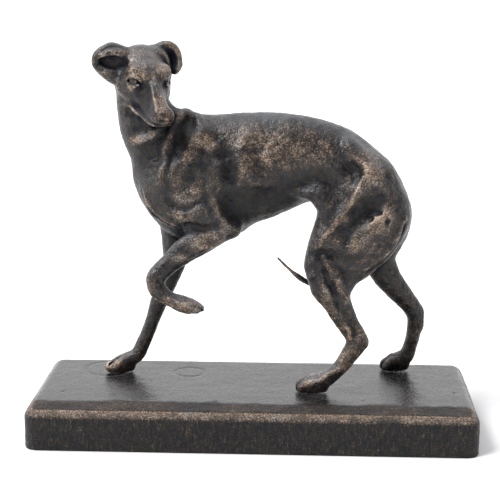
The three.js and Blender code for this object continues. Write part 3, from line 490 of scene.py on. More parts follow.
LEFT_FINE = [
    # Fold of skin from the withers down to the breast, and the hollow behind it
    ridge((-23.6, 73.4, 0.9, 0.5), (-24.3, 69.4, 0.9, 0.5), (-24.9, 65.4, 1, 0.55), (-25.6, 61, 1.2, 0.85),
          (-25.4, 56.9, 1.1, 0.85), blend=1.2),
    groove((-20.8, 73.4, 1.7, -1.35), (-21.2, 69.9, 1.7, -1.4), (-22.3, 66.8, 1.5, -1.25), blend=1.5),
    # Folds of the neck and below the jaw
    ridge((-33.9, 71.4, 0.9, 0.3), (-31.6, 72.6, 1.1, 0.3), (-28.4, 74.4, 1, 0.2), (-25.4, 76.4, 0.7, 0.15),
          blend=0.8),
    groove((-34.6, 74.4, 1.3, -0.75), (-32.8, 75.4, 1.6, -0.95), (-31.2, 76.2, 1.4, -0.8), blend=1.2),
    ridge((-37.6, 81.6, 0.8, 0.4), (-35.8, 81.6, 0.8, 0.45), (-33.9, 81.2, 0.8, 0.5),
          (-32.2, 79.8, 0.7, 0.45), blend=0.8),
    groove((-37, 79.6, 1.1, -0.7), (-35.2, 79.7, 1.3, -0.8), (-33.6, 79, 1.1, -0.7),
           (-32.4, 77.7, 0.9, -0.6), blend=1),
    # Outline of the shoulder's muscle, and the band under it
    groove((-25, 57.5, 1.4, -1), (-23.5, 54.4, 1.5, -1.05), (-20.3, 53.2, 1.5, -1.05),
           (-16.3, 54.6, 1.5, -1), (-14.1, 57.4, 1.4, -0.9), blend=2),
    ridge((-22.8, 52, 1.2, 0.8), (-18, 50.9, 1.3, 0.8), (-13.5, 52.5, 1.2, 0.8), blend=1.5),
    groove((-20.5, 47.6, 1, -0.6), (-18.5, 48, 1.2, -0.75), (-14.7, 47.6, 1.2, -0.75),
           (-10.7, 48.4, 1, -0.6)),
    # Fold between belly and thigh
    ridge((11.5, 57, 0.8, 0.7), (14.2, 57.4, 0.9, 0.65), (17.2, 56.8, 0.9, 0.65), (19.2, 54.8, 0.8, 0.7),
          blend=1.6),
    ridge((18.6, 58.6, 2.4, 2.2), (21.2, 56, 2.2, 2), blend=3),
    # Thigh: sharp front edge, hollow, and the muscle at the back with its knots and pits
    ridge((31.4, 62.2, 1.2, 0.8), (28.4, 57.6, 1, 0.45), (24.5, 52.2, 0.95, 0.4), (21, 47.2, 0.95, 0.4),
          (17.8, 42.8, 0.9, 0.45)),
    groove((26, 57.8, 1.6, -1.4), (22.2, 52.2, 1.6, -1.4), (19, 47.6, 1.4, -1.2), blend=1.8),
    groove((36, 56, 1.6, -1.35), (32.3, 53.8, 1.9, -1.6), (28.9, 51.2, 1.8, -1.6), (25.8, 48.1, 1.5, -1.35),
           blend=2),
    ridge((38.8, 54.6, 1.1, 0.7), (36.1, 50.9, 1.3, 0.8), (32.8, 48.2, 1.3, 0.85), (29, 45, 1.1, 0.8),
          blend=1.4),
    groove((34.4, 52.9, 0.7, -0.45), (35.9, 52.3, 0.6, -0.35), blend=0.7),
    groove((37.9, 51.2, 0.6, -0.35), (38.5, 49.5, 0.6, -0.35), blend=0.7),
    groove((32.2, 51, 0.6, -0.4), (33.4, 50.5, 0.6, -0.4), blend=0.7),
    groove((35.1, 42.9, 0.55, -0.1), (35.5, 42.7, 0.55, -0.1), blend=0.5),
    groove((18.4, 41, 1, -0.5), (21.2, 40.9, 1.2, -0.6), (24.6, 40.4, 1, -0.5), blend=1.5),
    ridge((42.2, 50.5, 0.9, 0.5), (40.2, 45, 0.9, 0.4), (36.2, 39.6, 0.9, 0.4), (31.8, 36, 0.9, 0.4)),
    groove((43, 48.5, 0.8, -0.2), (41.2, 43.4, 0.8, -0.2), (37.2, 38, 0.8, -0.2), (32.6, 34.6, 0.7, -0.2),
           blend=1),
    # Kneecap, shin and hock, and the tendons of the standing legs
    ridge((17.2, 40, 1.4, 0.9), (17.4, 39, 1.4, 0.9), blend=0.8),
    ridge((17.7, 35, 1.2, 0.75), (17.9, 34, 1.2, 0.75), blend=0.8),
    groove((19, 39.8, 0.8, -0.25), (20, 37.2, 0.95, -0.3), (21, 33.8, 1.05, -0.35),
           (22.4, 30.3, 1.05, -0.35), (23.9, 26.2, 0.95, -0.35), (25, 23.5, 0.8, -0.35), blend=0.8),
    ridge((20, 40.2, 1, 0.5), (22.6, 36.2, 1.3, 0.5), (24.6, 32, 1.3, 0.45), (26, 28, 1.1, 0.4),
          (27.2, 23.5, 0.9, 0.3)),
    groove((28.2, 20.2, 0.8, -0.3), (29, 18, 1, -0.45), (28.8, 15.6, 0.8, -0.3), blend=0.8),
    ridge((-29.3, 20, 0.55, 0.15), (-31.9, 13.5, 0.6, 0.1), (-34.6, 7.6, 0.6, 0.15),
          (-38.4, 4.7, 0.55, 0.15), blend=0.7),
    groove((-29.9, 22, 0.7, -0.3), (-31.2, 16.5, 0.7, -0.25), (-33.2, 10, 0.7, -0.3), blend=0.8),
    groove((39.8, 28.2, 0.8, -0.3), (43, 23.4, 0.9, -0.3), (45.6, 18.6, 0.8, -0.3), blend=1),
    ridge((45.8, 16.6, 0.6, 0.2), (45.6, 12, 0.6, 0.1), (45, 7.5, 0.6, 0.2), blend=0.7),
    ridge((26.4, 20.5, 0.6, 0.2), (26.9, 18.7, 0.6, 0.1), (28.4, 15.3, 0.6, 0.2), blend=0.7),
    ridge((14.2, 1.8, 0.7, 0.3), (17, 3.2, 0.7, 0.2), (20, 4.5, 0.7, 0.2), (23.4, 6.2, 0.7, 0.2),
          (25.5, 9.5, 0.6, 0.2), blend=0.8),
    # Lifted foreleg: upper edge, wrist and the back of the foot
    ridge((-19.5, 39, 0.9, 0.4), (-13.8, 42.2, 0.9, 0.4), (-8.6, 45.4, 0.9, 0.4)),
    groove((-26.4, 32.6, 0.6, -0.2), (-25.2, 30.6, 0.6, -0.2), blend=0.8),
    ridge((-25, 27.3, 0.6, 0.2), (-20.7, 26.3, 0.6, 0.2), (-16.5, 26, 0.6, 0.3), blend=0.7),
]

# Folds of skin on the withers, beside the muzzle
WITHERS = [
    stroke((-19.8, 4.8, 79.5, 0.8), (-21.5, 0.8, 77.4, 0.9), (-23.5, -1.8, 73.4, 0.9), blend=0.8),
    stroke((-18.2, 4.4, 78.9, 0.8), (-16.2, 1.9, 77.8, 0.9), (-14.8, -1.2, 75.6, 0.8)),
    stroke((-18.9, 0.2, 79.4, 1.2), (-19.8, -2.9, 76.4, 1.4), (-20.3, -5.1, 73.6, 1.4), blend=1.5, cut=True),
]


def toes(heel, tip, spread, radius, up=(0, 0, 1)):
    """Four toes side by side, and three grooves between them that run over their tips."""
    heel, tip, up = (np.array(value, float) for value in (heel, tip, up))
    way = unit_vector(tip - heel)
    side = unit_vector(np.cross(up, way))
    lift = np.cross(way, side)
    made = []
    for k in (-1.5, -0.5, 0.5, 1.5):
        root = heel + side * (k * spread * 0.8)
        end = tip + side * (k * spread) - way * (abs(k) * 0.5 - 0.25)
        knuckle = (root + end) / 2 + lift * (0.45 * radius) + side * (k * spread * 0.08)
        made.append(stroke((*root, radius), (*knuckle, radius * 0.95), (*end, radius * 0.75), blend=0.6))
    for k in (-1, 0, 1):
        root = heel + side * (k * spread * 0.8) + lift * (1.15 * radius)
        knuckle = (heel + tip) / 2 + side * (k * spread * 0.9) + lift * (1.44 * radius)
        end = tip + side * (k * spread) + lift * (0.85 * radius) + way * (0.4 * radius)
        low = tip + side * (k * spread) + way * (0.95 * radius) - lift * (0.2 * radius)
        made.append(stroke((*root, 0.25), (*knuckle, 0.33), (*end, 0.36), (*low, 0.36), blend=0.3, cut=True))
    return made


PADS = [
    stroke((-42.6, 9.8, 0.9, 1.4, 1.6), (-39.6, 10.2, 1.1, 1.7, 1.4), (-37.8, 10.4, 1.3, 1.5, 1.1),
           blend=1.2),
    stroke((13.9, -5.3, 0.9, 1.3, 1.6), (17.8, -5.6, 1.1, 1.7, 1.4), (20.4, -5.8, 1.2, 1.5, 1.1), blend=1),
    stroke((39.6, 16.3, 0.9, 1.4, 1.6), (42.9, 16.1, 1.2, 1.9, 1.4), (45, 15.8, 1.5, 1.9, 1.1), blend=1.2),
]
TOES = [
    *toes((-39.4, 10.3, 3), (-43.1, 9.6, 1.5), 1.12, 1.4),
    *toes((17.6, -5.5, 3), (13.7, -5.2, 1.3), 1.3, 1.35),
    *toes((43.4, 15.9, 3.1), (40, 16.3, 1.5), 1.25, 1.45),
    *toes((-18.6, -5.3, 24.8), (-15.2, -5.8, 24.1), 0.95, 1, up=(0, 0, -1)),
]


def lines_between(places, steps):
    """Grid lines through places, with a step for each stretch between two of them."""
    made = [np.array([places[0]])]
    for low, high, step in zip(places[:-1], places[1:], steps):
        made.append(np.linspace(low, high, max(int(round((high - low) / step)), 1) + 1)[1:])
    return np.concatenate(made)


# Stretches of the figure's grid lines along each axis, and their steps, finest round the head
FINE = 0.3
MEDIUM = 0.38
COARSE = 0.545
GRID_STRETCHES = [
    ((-46.6, -19, 50.6), (FINE, COARSE)),
    ((-16, 21), (MEDIUM,)),
    ((-2, 6.4, 80, 101.6), (MEDIUM, COARSE, FINE)),
]


def figure_grid():
    grid = Grid(*[lines_between(*stretches) for stretches in GRID_STRETCHES])
    for form in [*TRUNK, *HEAD, *EARS, *LIMBS, *PADS]:
        grid.add(form)
    for form in laid_on(grid, BOTH_FLANKS, LEFT_CARVING):
        grid.add(form)
    fine = [*laid_on(grid, BOTH_FINE, LEFT_FINE), *WITHERS]
    fine = [hand_cut(form, seed) for seed, form in enumerate(fine)]
    for form in [*fine, *TOES, TAIL]:
        grid.add(form)
    height = grid.open_lines()[2]
    grid.values = np.maximum(grid.values, -height)
    return grid


# Surface measures

NOISE_SIZE = 32
NOISE_TABLES = [np.random.RandomState(seed).rand(NOISE_SIZE, NOISE_SIZE, NOISE_SIZE) for seed in range(6)]


def lumps(points, size, table):
    """Smooth noise from -1 to 1, with lumps of one size."""
    at = points / size
    base = np.floor(at).astype(int)
    share = at - base
    share = share * share * (3 - 2 * share)
    total = np.zeros(len(points))
    for steps, weight in cell_corners(share.T):
        index = [(base[:, axis] + steps[axis]) % NOISE_SIZE for axis in range(3)]
        total += weight * NOISE_TABLES[table][tuple(index)]
    return total * 2 - 1


def uneven(points, layers):
    """Noise of several sizes, added up. A layer: how much, the lumps' size, and the table."""
    return sum(much * lumps(points, size, table) for much, size, table in layers)


def bulge(grid, points, size):
    """How much the surface stands proud of its surroundings, over one size."""
    ways = [np.array(way) - 1 for way in np.ndindex(3, 3, 3) if way != (1, 1, 1)]
    total = np.zeros(len(points))
    for way in ways:
        total += np.clip(grid.read(points + way * (size / math.sqrt(way @ way))), -size, size)
    return total / len(ways) / size


def openness(grid, points, normals, distance):
    """How free the space in front of the surface is, from 0 to 1."""
    return np.clip(grid.read(points + normals * distance) / distance, 0, 1)


def mesh_object(name, points, faces, measures):
    mesh = bpy.data.meshes.new(name)
    mesh.vertices.add(len(points))
    mesh.vertices.foreach_set("co", points.astype(np.float32).ravel())
    mesh.loops.add(faces.size)
    mesh.loops.foreach_set("vertex_index", faces.astype(np.int32).ravel())
    mesh.polygons.add(len(faces))
    mesh.polygons.foreach_set("loop_start", np.arange(0, faces.size, 4, dtype=np.int32))
    mesh.update(calc_edges=True)
    mesh.validate()
    for key, values in measures.items():
        layer = mesh.attributes.new(key, "FLOAT", "POINT")
        layer.data.foreach_set("value", values.astype(np.float32))
    mesh.polygons.foreach_set("use_smooth", np.ones(len(mesh.polygons), bool))
    return add_object(name, mesh)


def settled(grid, points, rounds=3, step=0.15, most=0.3):
    """Points drawn on to the surface, each time by no more than most."""
    for _ in range(rounds):
        points = points - grid.slope(points, step) * np.clip(grid.read(points), -most, most)[:, None]
    return points


def within(points, node, inset=0.00002):
    """Points kept inside the box of a CAD node."""
    low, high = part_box(node)
    return np.clip(points, np.array(low) + inset, np.array(high) - inset)


# Where the iron is rubbed to bronze: the place, its reach each way, and how much
RUBBED = [
    [(4, 0, 70), (12, 9, 6), 1], [(-2, 0, 65), (6, 9, 6), 0.8], [(14, 0, 70), (8, 9, 4.5), 0.7],
    [(-18, -1, 58), (7, 9, 8), 0.7], [(-14, 0, 72), (5, 9, 2.5), 0.9], [(-18, 0, 67.5), (3.5, 9, 2.5), 1],
    [(-19, 2, 79), (3, 4, 2), 0.9], [(-32.6, 0, 72.2), (2.2, 6, 1.2), 1.2],
    [(-28.6, 0, 74.3), (2.8, 6, 1.2), 1.3], [(-20, -5, 38.8), (3.2, 4, 2), 1.2],
    [(-15.5, -5, 42.4), (3.6, 4, 2), 1.5], [(-10.5, -5, 45.8), (3.4, 4, 2), 1.5],
    [(-8, -4, 47), (4, 5, 2), 1.1], [(-20, -6, 26), (7, 4, 1.6), 1.3], [(32, 0, 63), (4.5, 9, 6), 1.3],
    [(26, -3, 53.5), (4.5, 9, 7), 0.9], [(34, -2, 50), (6, 9, 6), 1], [(29, -2, 43.5), (7, 9, 5), 0.9],
    [(22, -4, 30), (4, 5, 8), 0.5], [(27, -5, 11), (4, 5, 8), 0.7], [(18, -6, 4), (5, 4, 3), 0.7],
    [(-41, 9, 3), (4, 5, 3), 0.6], [in_head(15.5, 1.5, 0), (3.5, 3.5, 3.5), 1.2],
    [in_head(5, -2.6, 4.5), (1.6, 2.2, 1.7), 1.5], [in_head(5, 2.8, 4.6), (2.4, 2.7, 2.4), 2],
    [in_head(6.9, -5.6, -0.6), (1.5, 1.5, 0.9), 1.5], [in_head(2, 0, 2), (8, 9, 7), 0.75],
    [in_head(7, 5.4, -0.5), (1.5, 1.5, 1.2), 1.2], [in_head(0, -1, 6), (3.5, 4, 2.5), 0.5],
    [(-36.5, -2, 86.5), (1.8, 3, 2), 0.9], [(-34.5, -2, 80), (3.5, 5, 3.5), 0.8],
    [(-37.3, -1, 86.5), (1.6, 3, 3.5), 0.8], [(-41, -1, 90.8), (3, 3, 1.8), 0.8],
    [(-24, 5, 91.5), (2, 3, 2), 0.8],
]

# Hollows and flat places that stay dark and smooth
SMOOTH = [
    [in_head(11.5, -4.6, -1.2), (3, 2.6, 3.8), 1.3], [(-20.6, 0, 73), (1.5, 9, 4), 0.8],
    [(-7.5, 0, 67.5), (2.8, 9, 5), 0.8], [(4, 0, 56), (11, 9, 3.5), 0.7],
    [(-3.5, -4, 53.5), (3.2, 6, 4.5), 1], [(20, 0, 60), (4.5, 9, 4.5), 0.6],
    [(31, -4, 52.6), (4.2, 4, 1.8), 1], [(25, -4, 40.5), (5.5, 4, 1.5), 0.9],
    [(-29.6, -2, 67), (3.4, 6, 4.5), 0.9], [(-20.5, -5, 36.4), (3, 4, 1.6), 1],
    [(-14.5, -5, 40.4), (3.4, 4, 1.5), 1], [(-8.8, -5, 44.6), (2.6, 4, 1.4), 0.8],
    [(-24.5, -6, 41), (3.5, 4, 2), 0.8], [(-33, -2, 78.2), (3.6, 4, 2.4), 0.8],
    [in_head(12, -3.6, -6), (4, 2, 1.8), 0.5], [(-28, 10, 24), (6, 5, 13), 0.5],
    [(17.5, -3, 37), (1.6, 5, 5), 0.5],
]


TRUNK_START = -28
TRUNK_FOOT = 42


def nearness(points, place, reach):
    """From 1 at a place down to nearly 0 at twice its reach."""
    away = (((points - np.array(place, float)) / np.array(reach, float)) ** 2).sum(1)
    return np.exp(-0.7 * away**1.5)


def rubbed(points):
    """How much the surface is rubbed to bronze. The trunk's right flank repeats its left one."""
    left = points.copy()
    right = (points[:, 1] > MIDLINE) & (points[:, 0] > TRUNK_START) & (points[:, 2] > TRUNK_FOOT)
    left[right, 1] = 2 * MIDLINE - left[right, 1]
    total = np.zeros(len(points))
    for place, reach, much in RUBBED:
        total = np.maximum(total, much * nearness(left, place, reach))
    for place, reach, much in SMOOTH:
        total -= much * nearness(left, place, reach)
    return total


# Sizes over which the figure's surface is measured, and the unevenness of the casting
EDGE_SIZE = 0.7
FORM_SIZE = 2
NEAR_SPACE = 1
WIDE_SPACE = 3
FIGURE_LUMPS = [(0.15, 4.5, 0), (0.09, 1.9, 1), (0.05, 0.85, 2)]


def make_figure():
    grid = figure_grid()
    points, faces = grid.skin()
    points = settled(grid, points)
    normals = grid.slope(points, step=0.4)
    near, wide = (openness(grid, points, normals, space) for space in (NEAR_SPACE, WIDE_SPACE))
    measures = {
        "proud": bulge(grid, points, EDGE_SIZE),
        "broad": bulge(grid, points, FORM_SIZE),
        "free": (near + wide) / 2,
        "rub": rubbed(points),
        "up": normals[:, 2],
    }
    points = points + normals * uneven(points, FIGURE_LUMPS)[:, None]
    points[:, 2] = np.maximum(points[:, 2], 0)
    places = points * UNIT
    places[:, 2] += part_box("base")[1][2] + SEAT_GAP
    piece = mesh_object("greyhound_cast", within(places, "greyhound"), faces, measures)
    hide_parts("greyhound")
    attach(piece, "root")
    return piece


# Slab: the radii of its upright corners, its top edge and its lower edge, in millimetres

SLAB_CORNER = 7.5
SLAB_EDGE = 6.5
SLAB_UNDER = 1
SLAB_CELL = 1.15
MM = 0.001


def round_corner(u, v, radius):
    """The distance from a rounded right angle, from the distances u and v from its two sides."""
    u, v = u + radius, v + radius
    return np.hypot(np.maximum(u, 0), np.maximum(v, 0)) + np.minimum(np.maximum(u, v), 0) - radius


def slab_field(high, x, y, z):
    """A block with round corners, a rounder top edge, and a small round below."""
    side = round_corner(np.abs(x) - high[0], np.abs(y) - high[1], SLAB_CORNER)
    middle = high[2] / 2
    above, below = (z - middle) - middle, (middle - z) - middle
    return np.where(z > middle, round_corner(side, above, SLAB_EDGE), round_corner(side, below, SLAB_UNDER))


# How far the whole slab and its sides are sunk, and their unevenness
SLAB_WEAR = 0.2
SLAB_LUMPS = [(0.12, 14, 3), (0.07, 5, 4)]
SIDE_WEAR = 0.1
SIDE_LUMPS = [(0.12, 3.2, 5), (0.07, 1.9, 2)]
# The top bends down towards the front: from which distance to which, and where it is darker
BEND_DEPTH = 1.3
BEND_SPAN = (19, 4)
DARK_SPAN = (22, 12)
BEND_LUMPS = [(1.6, 11, 3), (0.8, 4, 4)]
# How far up the surface faces on sides, top and rim, and where the rim and the foot fade out
SIDE_RISE = (0.75, 0.3)
TOP_RISE = (0.4, 1)
RIM_TURN = (0.01, 0.12)
RIM_SPAN = (7.5, 2.5)
FOOT_SPAN = (0, 2)
# Marks on the level top. Rings: along, across, radius and depth. Pits: along, across and radius.
RING_MARKS = [(-38.8, 21.8, 8.6, 0.4), (-88, 26, 13.5, 0.3)]
RING_LINE = 0.9
SLAB_PITS = [(-107.6, -17.1, 0.9), (-77.3, -20.7, 1.2), (114, -9.4, 1), (-20, -30, 0.8), (62, -25, 0.7),
             (88, 30, 0.9), (-60, 5, 0.7), (20, 12, 0.6)]
PIT_DEPTH = 0.6
LEVEL = 0.9


def make_slab():
    low, high = (np.array(corner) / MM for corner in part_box("base"))
    spans = [(low[axis] - 2, high[axis] + 2) for axis in range(3)]
    grid = Grid(*[lines_between(span, (SLAB_CELL,)) for span in spans])
    grid.values = slab_field(high, *grid.open_lines()).astype(np.float32)
    points, faces = grid.skin()
    points = settled(grid, points, rounds=2)
    normals = grid.slope(points, step=0.5)
    rise = normals[:, 2]
    sunk = SLAB_WEAR + uneven(points, SLAB_LUMPS)
    sunk += smoothstep(rise, *SIDE_RISE) * (SIDE_WEAR + uneven(points, SIDE_LUMPS))
    front = points[:, 1] - low[1] + uneven(points, BEND_LUMPS)
    on_top = smoothstep(rise, *TOP_RISE)
    sunk += BEND_DEPTH * smoothstep(front, *BEND_SPAN) * on_top
    for along, across, radius, depth in RING_MARKS:
        away = np.hypot(points[:, 0] - along, points[:, 1] - across) - radius
        sunk += depth * np.exp(-(away / RING_LINE) ** 2) * (rise > LEVEL)
    for along, across, radius in SLAB_PITS:
        away = np.hypot(points[:, 0] - along, points[:, 1] - across) / radius
        sunk += PIT_DEPTH * np.exp(-away**2) * (rise > LEVEL)
    sunk = np.maximum(sunk, 0) * smoothstep(points[:, 2], *FOOT_SPAN)
    points = points - normals * sunk[:, None]
    upright = 1 - np.clip(rise, 0, 1)
    measures = {
        "rim": smoothstep(upright, *RIM_TURN) * smoothstep(high[2] - points[:, 2], *RIM_SPAN),
        "upright": upright,
        "bend": smoothstep(front, *DARK_SPAN) * on_top,
    }
    piece = mesh_object("slab_cast", within(points * MM, "base"), faces, measures)
    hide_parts("base")
    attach(piece, "root")
    return piece


# Finishes

class Nodes:
    """A material's nodes, made and joined by short calls."""

    def __init__(self, name):
        self.material = bpy.data.materials.new(name)
        self.material.use_nodes = True
        self.tree = self.material.node_tree
        self.tree.nodes.clear()
        self.shader = self.tree.nodes.new("ShaderNodeBsdfPrincipled")
        output = self.tree.nodes.new("ShaderNodeOutputMaterial")
        self.tree.links.new(self.shader.outputs["BSDF"], output.inputs["Surface"])
        self.place = self.tree.nodes.new("ShaderNodeTexCoord").outputs["Object"]

    def put(self, value, socket):
        if isinstance(value, bpy.types.NodeSocket):
            self.tree.links.new(value, socket)
        else:
            socket.default_value = value

    def noise(self, size, detail, roughness, stretch=None, lean=0):
        """Noise whose lumps have one size in metres, or stretched and leaning ones."""
        node = self.tree.nodes.new("ShaderNodeTexNoise")
        node.inputs["Scale"].default_value = 1 / size
        node.inputs["Detail"].default_value = detail
        node.inputs["Roughness"].default_value = roughness
        place = self.place
        if stretch:
            mapping = self.tree.nodes.new("ShaderNodeMapping")
            mapping.inputs["Scale"].default_value = stretch
            mapping.inputs["Rotation"].default_value = (0, lean, 0)
            self.put(self.place, mapping.inputs["Vector"])
            place = mapping.outputs["Vector"]
        self.put(place, node.inputs["Vector"])
        return node.outputs["Fac"]

    def measure(self, name):
        node = self.tree.nodes.new("ShaderNodeAttribute")
        node.attribute_name = name
        return node.outputs["Fac"]

    def combine(self, kind, a, b):
        node = self.tree.nodes.new("ShaderNodeMath")
        node.operation = kind
        self.put(a, node.inputs[0])
        self.put(b, node.inputs[1])
        return node.outputs[0]

    def times(self, a, b):
        return self.combine("MULTIPLY", a, b)

    def plus(self, a, b):
        return self.combine("ADD", a, b)

    def step(self, value, low, high, to_low=0, to_high=1):
        """A smooth step: to_low where the value is at low, and to_high where it is at high."""
        node = self.tree.nodes.new("ShaderNodeMapRange")
        node.interpolation_type = "SMOOTHSTEP"
        for socket, number in zip(node.inputs, (value, low, high, to_low, to_high)):
            self.put(number, socket)
        return node.outputs["Result"]

    def mix(self, factor, a, b):
        node = self.tree.nodes.new("ShaderNodeMix")
        node.data_type = "RGBA"
        self.put(factor, node.inputs["Factor"])
        self.put(a, node.inputs[6])
        self.put(b, node.inputs[7])
        return node.outputs[2]

    def bump(self, height, strength, distance, below=None):
        node = self.tree.nodes.new("ShaderNodeBump")
        node.inputs["Strength"].default_value = strength
        node.inputs["Distance"].default_value = distance
        self.put(height, node.inputs["Height"])
        if below:
            self.put(below, node.inputs["Normal"])
        return node.outputs["Normal"]

    def dressed(self, values):
        """The material, with the shader's sockets set by their names."""
        for name, value in values.items():
            self.put(value, self.shader.inputs[name])
        return self.material


CHARCOAL = (0.006, 0.008, 0.012, 1)
CHARCOAL_WARM = (0.024, 0.019, 0.015, 1)
# Blue-black of the painted shade in hollows, creases and between parts
SHADE_BLUE_BLACK = (0.009, 0.011, 0.017, 1)
BROWN = (0.08, 0.053, 0.035, 1)
BRONZE = (0.37, 0.275, 0.205, 1)
SILVER = (0.27, 0.26, 0.255, 1)
# Grey of the painted sheen on faces that look upward
PAINTED_SHEEN_GREY = (0.08, 0.083, 0.092, 1)
FLOOR_GREYS = ((0.76, 0.76, 0.76, 1), (0.79, 0.79, 0.79, 1))
GRAIN_SIZE = 0.00085


def worn_colour(n, rub, grain, coarse_grain, tint):
    """Dark iron with flecks all over, stronger and closer together where it is rubbed."""
    dark = n.mix(n.step(coarse_grain, 0.35, 0.65), CHARCOAL, CHARCOAL_WARM)
    dark = n.mix(n.step(rub, 0, 1.4, 0, 0.7), dark, BROWN)
    level = n.combine("SUBTRACT", 0.68, n.times(rub, 0.12))
    mixed = n.plus(grain, n.times(coarse_grain, 0.3))
    fleck = n.step(mixed, level, n.plus(level, 0.32))
    bright = n.mix(n.step(tint, 0.5, 0.7), BRONZE, SILVER)
    fleck = n.times(fleck, n.step(rub, -0.2, 1.2, 0.16, 0.92))
    return n.mix(fleck, dark, bright), fleck


def figure_finish():
    n = Nodes("dark iron rubbed to bronze")
    proud = n.measure("proud")
    broad = n.measure("broad")
    free = n.measure("free")
    patches = n.noise(0.011, 4, 0.65)
    tint = n.noise(0.02, 3, 0.6)
    grain = n.noise(GRAIN_SIZE, 2, 0.6)
    coarse_grain = n.noise(0.003, 3, 0.6)
    rub = n.plus(n.plus(n.measure("rub"), 0.22), n.step(proud, 0.02, 0.2, 0, 0.55))
    rub = n.plus(rub, n.step(broad, 0.06, 0.3, -0.05, 0.5))
    rub = n.times(rub, n.step(patches, 0.34, 0.64, 0.3, 1.35))
    rub = n.times(rub, n.step(free, 0.45, 0.95, 0.3, 1))
    rub = n.combine("SUBTRACT", rub, n.step(broad, 0.02, -0.12, 0, 0.8))
    colour, fleck = worn_colour(n, rub, grain, coarse_grain, tint)
    # Painted sheen: faces that look upward are lightened towards grey in patches, standing in for the
    # reflection of the bright light from above. Flecks keep more of their own colour.
    top_sheen = n.times(n.step(n.measure("up"), 0.35, 0.95), n.step(tint, 0.3, 0.6, 0.15, 0.8))
    colour = n.mix(n.times(top_sheen, n.step(fleck, 0.2, 0.7, 1, 0.2)), colour, PAINTED_SHEEN_GREY)
    # Painted shade: where the space in front of the surface is closed in, in hollows, creases and between
    # parts, the colour is darkened towards blue-black.
    colour = n.mix(n.step(free, 0.95, 0.5, 0, 0.9), colour, SHADE_BLUE_BLACK)
    worked = n.bump(patches, 0.6, 0.0014)
    lumpy = n.bump(coarse_grain, 0.9, 0.0009, worked)
    return n.dressed({
        "Base Color": colour,
        "Metallic": n.step(fleck, 0, 1, 0.15, 0.3),
        "Roughness": n.step(coarse_grain, 0.3, 0.7, 0.28, 0.44),
        "Specular IOR Level": n.times(n.step(free, 0.5, 1, 0.12, 0.46), n.step(rub, -0.7, 0.15, 0.6, 1)),
        "Normal": n.bump(grain, 0.9, 0.00035, lumpy),
    })


def slab_finish():
    n = Nodes("dark iron slab")
    rim = n.measure("rim")
    upright = n.measure("upright")
    bend = n.measure("bend")
    grain = n.noise(GRAIN_SIZE, 2, 0.6)
    coarse_grain = n.noise(0.0026, 3, 0.6)
    patches = n.noise(0.022, 3, 0.6)
    streaks = n.noise(0.0014, 3, 0.65, stretch=(1, 1, 0.25), lean=math.radians(18))
    rub = n.plus(n.step(rim, 0.1, 1, -0.25, 1), n.step(upright, 0.3, 0.9, -0.1, 0.32))
    rub = n.times(rub, n.step(patches, 0.34, 0.62, 0.35, 1.3))
    rub = n.plus(rub, n.step(bend, 0.1, 1, 0, 0.62))
    scratched = n.times(n.step(streaks, 0.5, 0.72, -0.05, 0.42), n.step(upright, 0.5, 0.95))
    rub = n.plus(rub, scratched)
    worn = n.times(n.plus(coarse_grain, streaks), 0.5)
    colour, fleck = worn_colour(n, rub, grain, worn, patches)
    side = n.combine("MAXIMUM", n.step(upright, 0.05, 0.5), n.step(bend, 0.2, 0.9))
    relief = n.step(side, 0, 1, 0.2, 1.2)
    lumpy = n.bump(n.times(worn, relief), 0.9, 0.0015)
    return n.dressed({
        "Base Color": colour,
        "Metallic": n.step(fleck, 0, 1, 0.1, 0.4),
        "Roughness": n.plus(n.step(coarse_grain, 0.3, 0.7, 0.22, 0.32), n.step(side, 0, 1, 0, 0.16)),
        "Specular IOR Level": n.times(n.step(upright, 0.3, 0.9, 0.48, 0.26), n.step(bend, 0.1, 0.9, 1, 0.24)),
        "Normal": n.bump(n.times(grain, relief), 0.9, 0.0005, lumpy),
    })


def floor_finish():
    n = Nodes("pale matt floor")
    return n.dressed({
        "Base Color": n.mix(n.noise(0.05, 3, 0.5), *FLOOR_GREYS),
        "Roughness": 0.8,
        "Normal": n.bump(n.noise(0.002, 2, 0.5), 0.05, 0.0002),
    })


# Floor and light

FLOOR_REACH = 20


def make_floor():
    corners = [(x * FLOOR_REACH, y * FLOOR_REACH, 0) for x, y in ((-1, -1), (1, -1), (1, 1), (-1, 1))]
    mesh = bpy.data.meshes.new("floor")
    mesh.from_pydata(corners, [], [(0, 1, 2, 3)])
    mesh.materials.append(floor_finish())
    floor = add_object("floor", mesh)


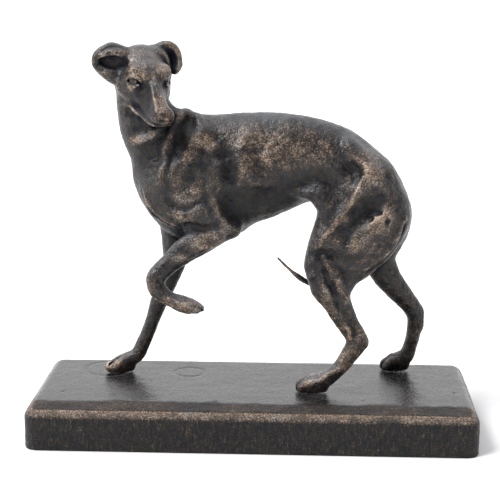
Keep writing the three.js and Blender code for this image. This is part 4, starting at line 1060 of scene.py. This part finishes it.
def add_sun(name, way, power, spread):
    """A soft distant light that shines along one way."""
    data = bpy.data.lights.new(name, "SUN")
    data.energy = power
    data.angle = math.radians(spread)
    lamp = add_object(name, data)
    lamp.rotation_mode = "QUATERNION"
    lamp.rotation_quaternion = Vector(way).to_track_quat("-Z", "Y")


WORLD_FRONT = (0.06, 0.065, 0.075, 1)
WORLD_BACK = (1.55, 1.55, 1.57, 1)
WORLD_TILT = math.radians(-28)
WORLD_SPREAD = (-0.35, 0.75)
# Each light: its name, the way it shines, its power, and its spread in degrees
SUNS = [
    ("high soft light", (0.65, 0.35, -0.9), 4, 26),
    ("low light from the left", (1, 0.15, -0.25), 0.5, 60),
]


def light_room():
    """A room that is dark in front and bright behind the statue, and two soft lights."""
    world = bpy.data.worlds.new("room")
    world.use_nodes = True
    tree = world.node_tree
    place = tree.nodes.new("ShaderNodeTexCoord")
    parts = tree.nodes.new("ShaderNodeSeparateXYZ")
    rise = tree.nodes.new("ShaderNodeMapRange")
    rise.interpolation_type = "SMOOTHSTEP"
    rise.inputs["From Min"].default_value, rise.inputs["From Max"].default_value = WORLD_SPREAD
    shade = tree.nodes.new("ShaderNodeMix")
    shade.data_type = "RGBA"
    shade.inputs[6].default_value = WORLD_FRONT
    shade.inputs[7].default_value = WORLD_BACK
    tilt = tree.nodes.new("ShaderNodeVectorRotate")
    tilt.rotation_type = "X_AXIS"
    tilt.inputs["Angle"].default_value = WORLD_TILT
    tree.links.new(place.outputs["Generated"], tilt.inputs["Vector"])
    tree.links.new(tilt.outputs["Vector"], parts.inputs[0])
    tree.links.new(parts.outputs["Y"], rise.inputs["Value"])
    tree.links.new(rise.outputs["Result"], shade.inputs["Factor"])
    tree.links.new(shade.outputs[2], tree.nodes["Background"].inputs["Color"])
    bpy.context.scene.world = world
    for sun in SUNS:
        add_sun(*sun)


slab = make_slab()
slab.data.materials.append(slab_finish())
figure = make_figure()
figure.data.materials.append(figure_finish())
make_floor()
light_room()
bpy.context.scene.view_settings.view_transform = "Standard"
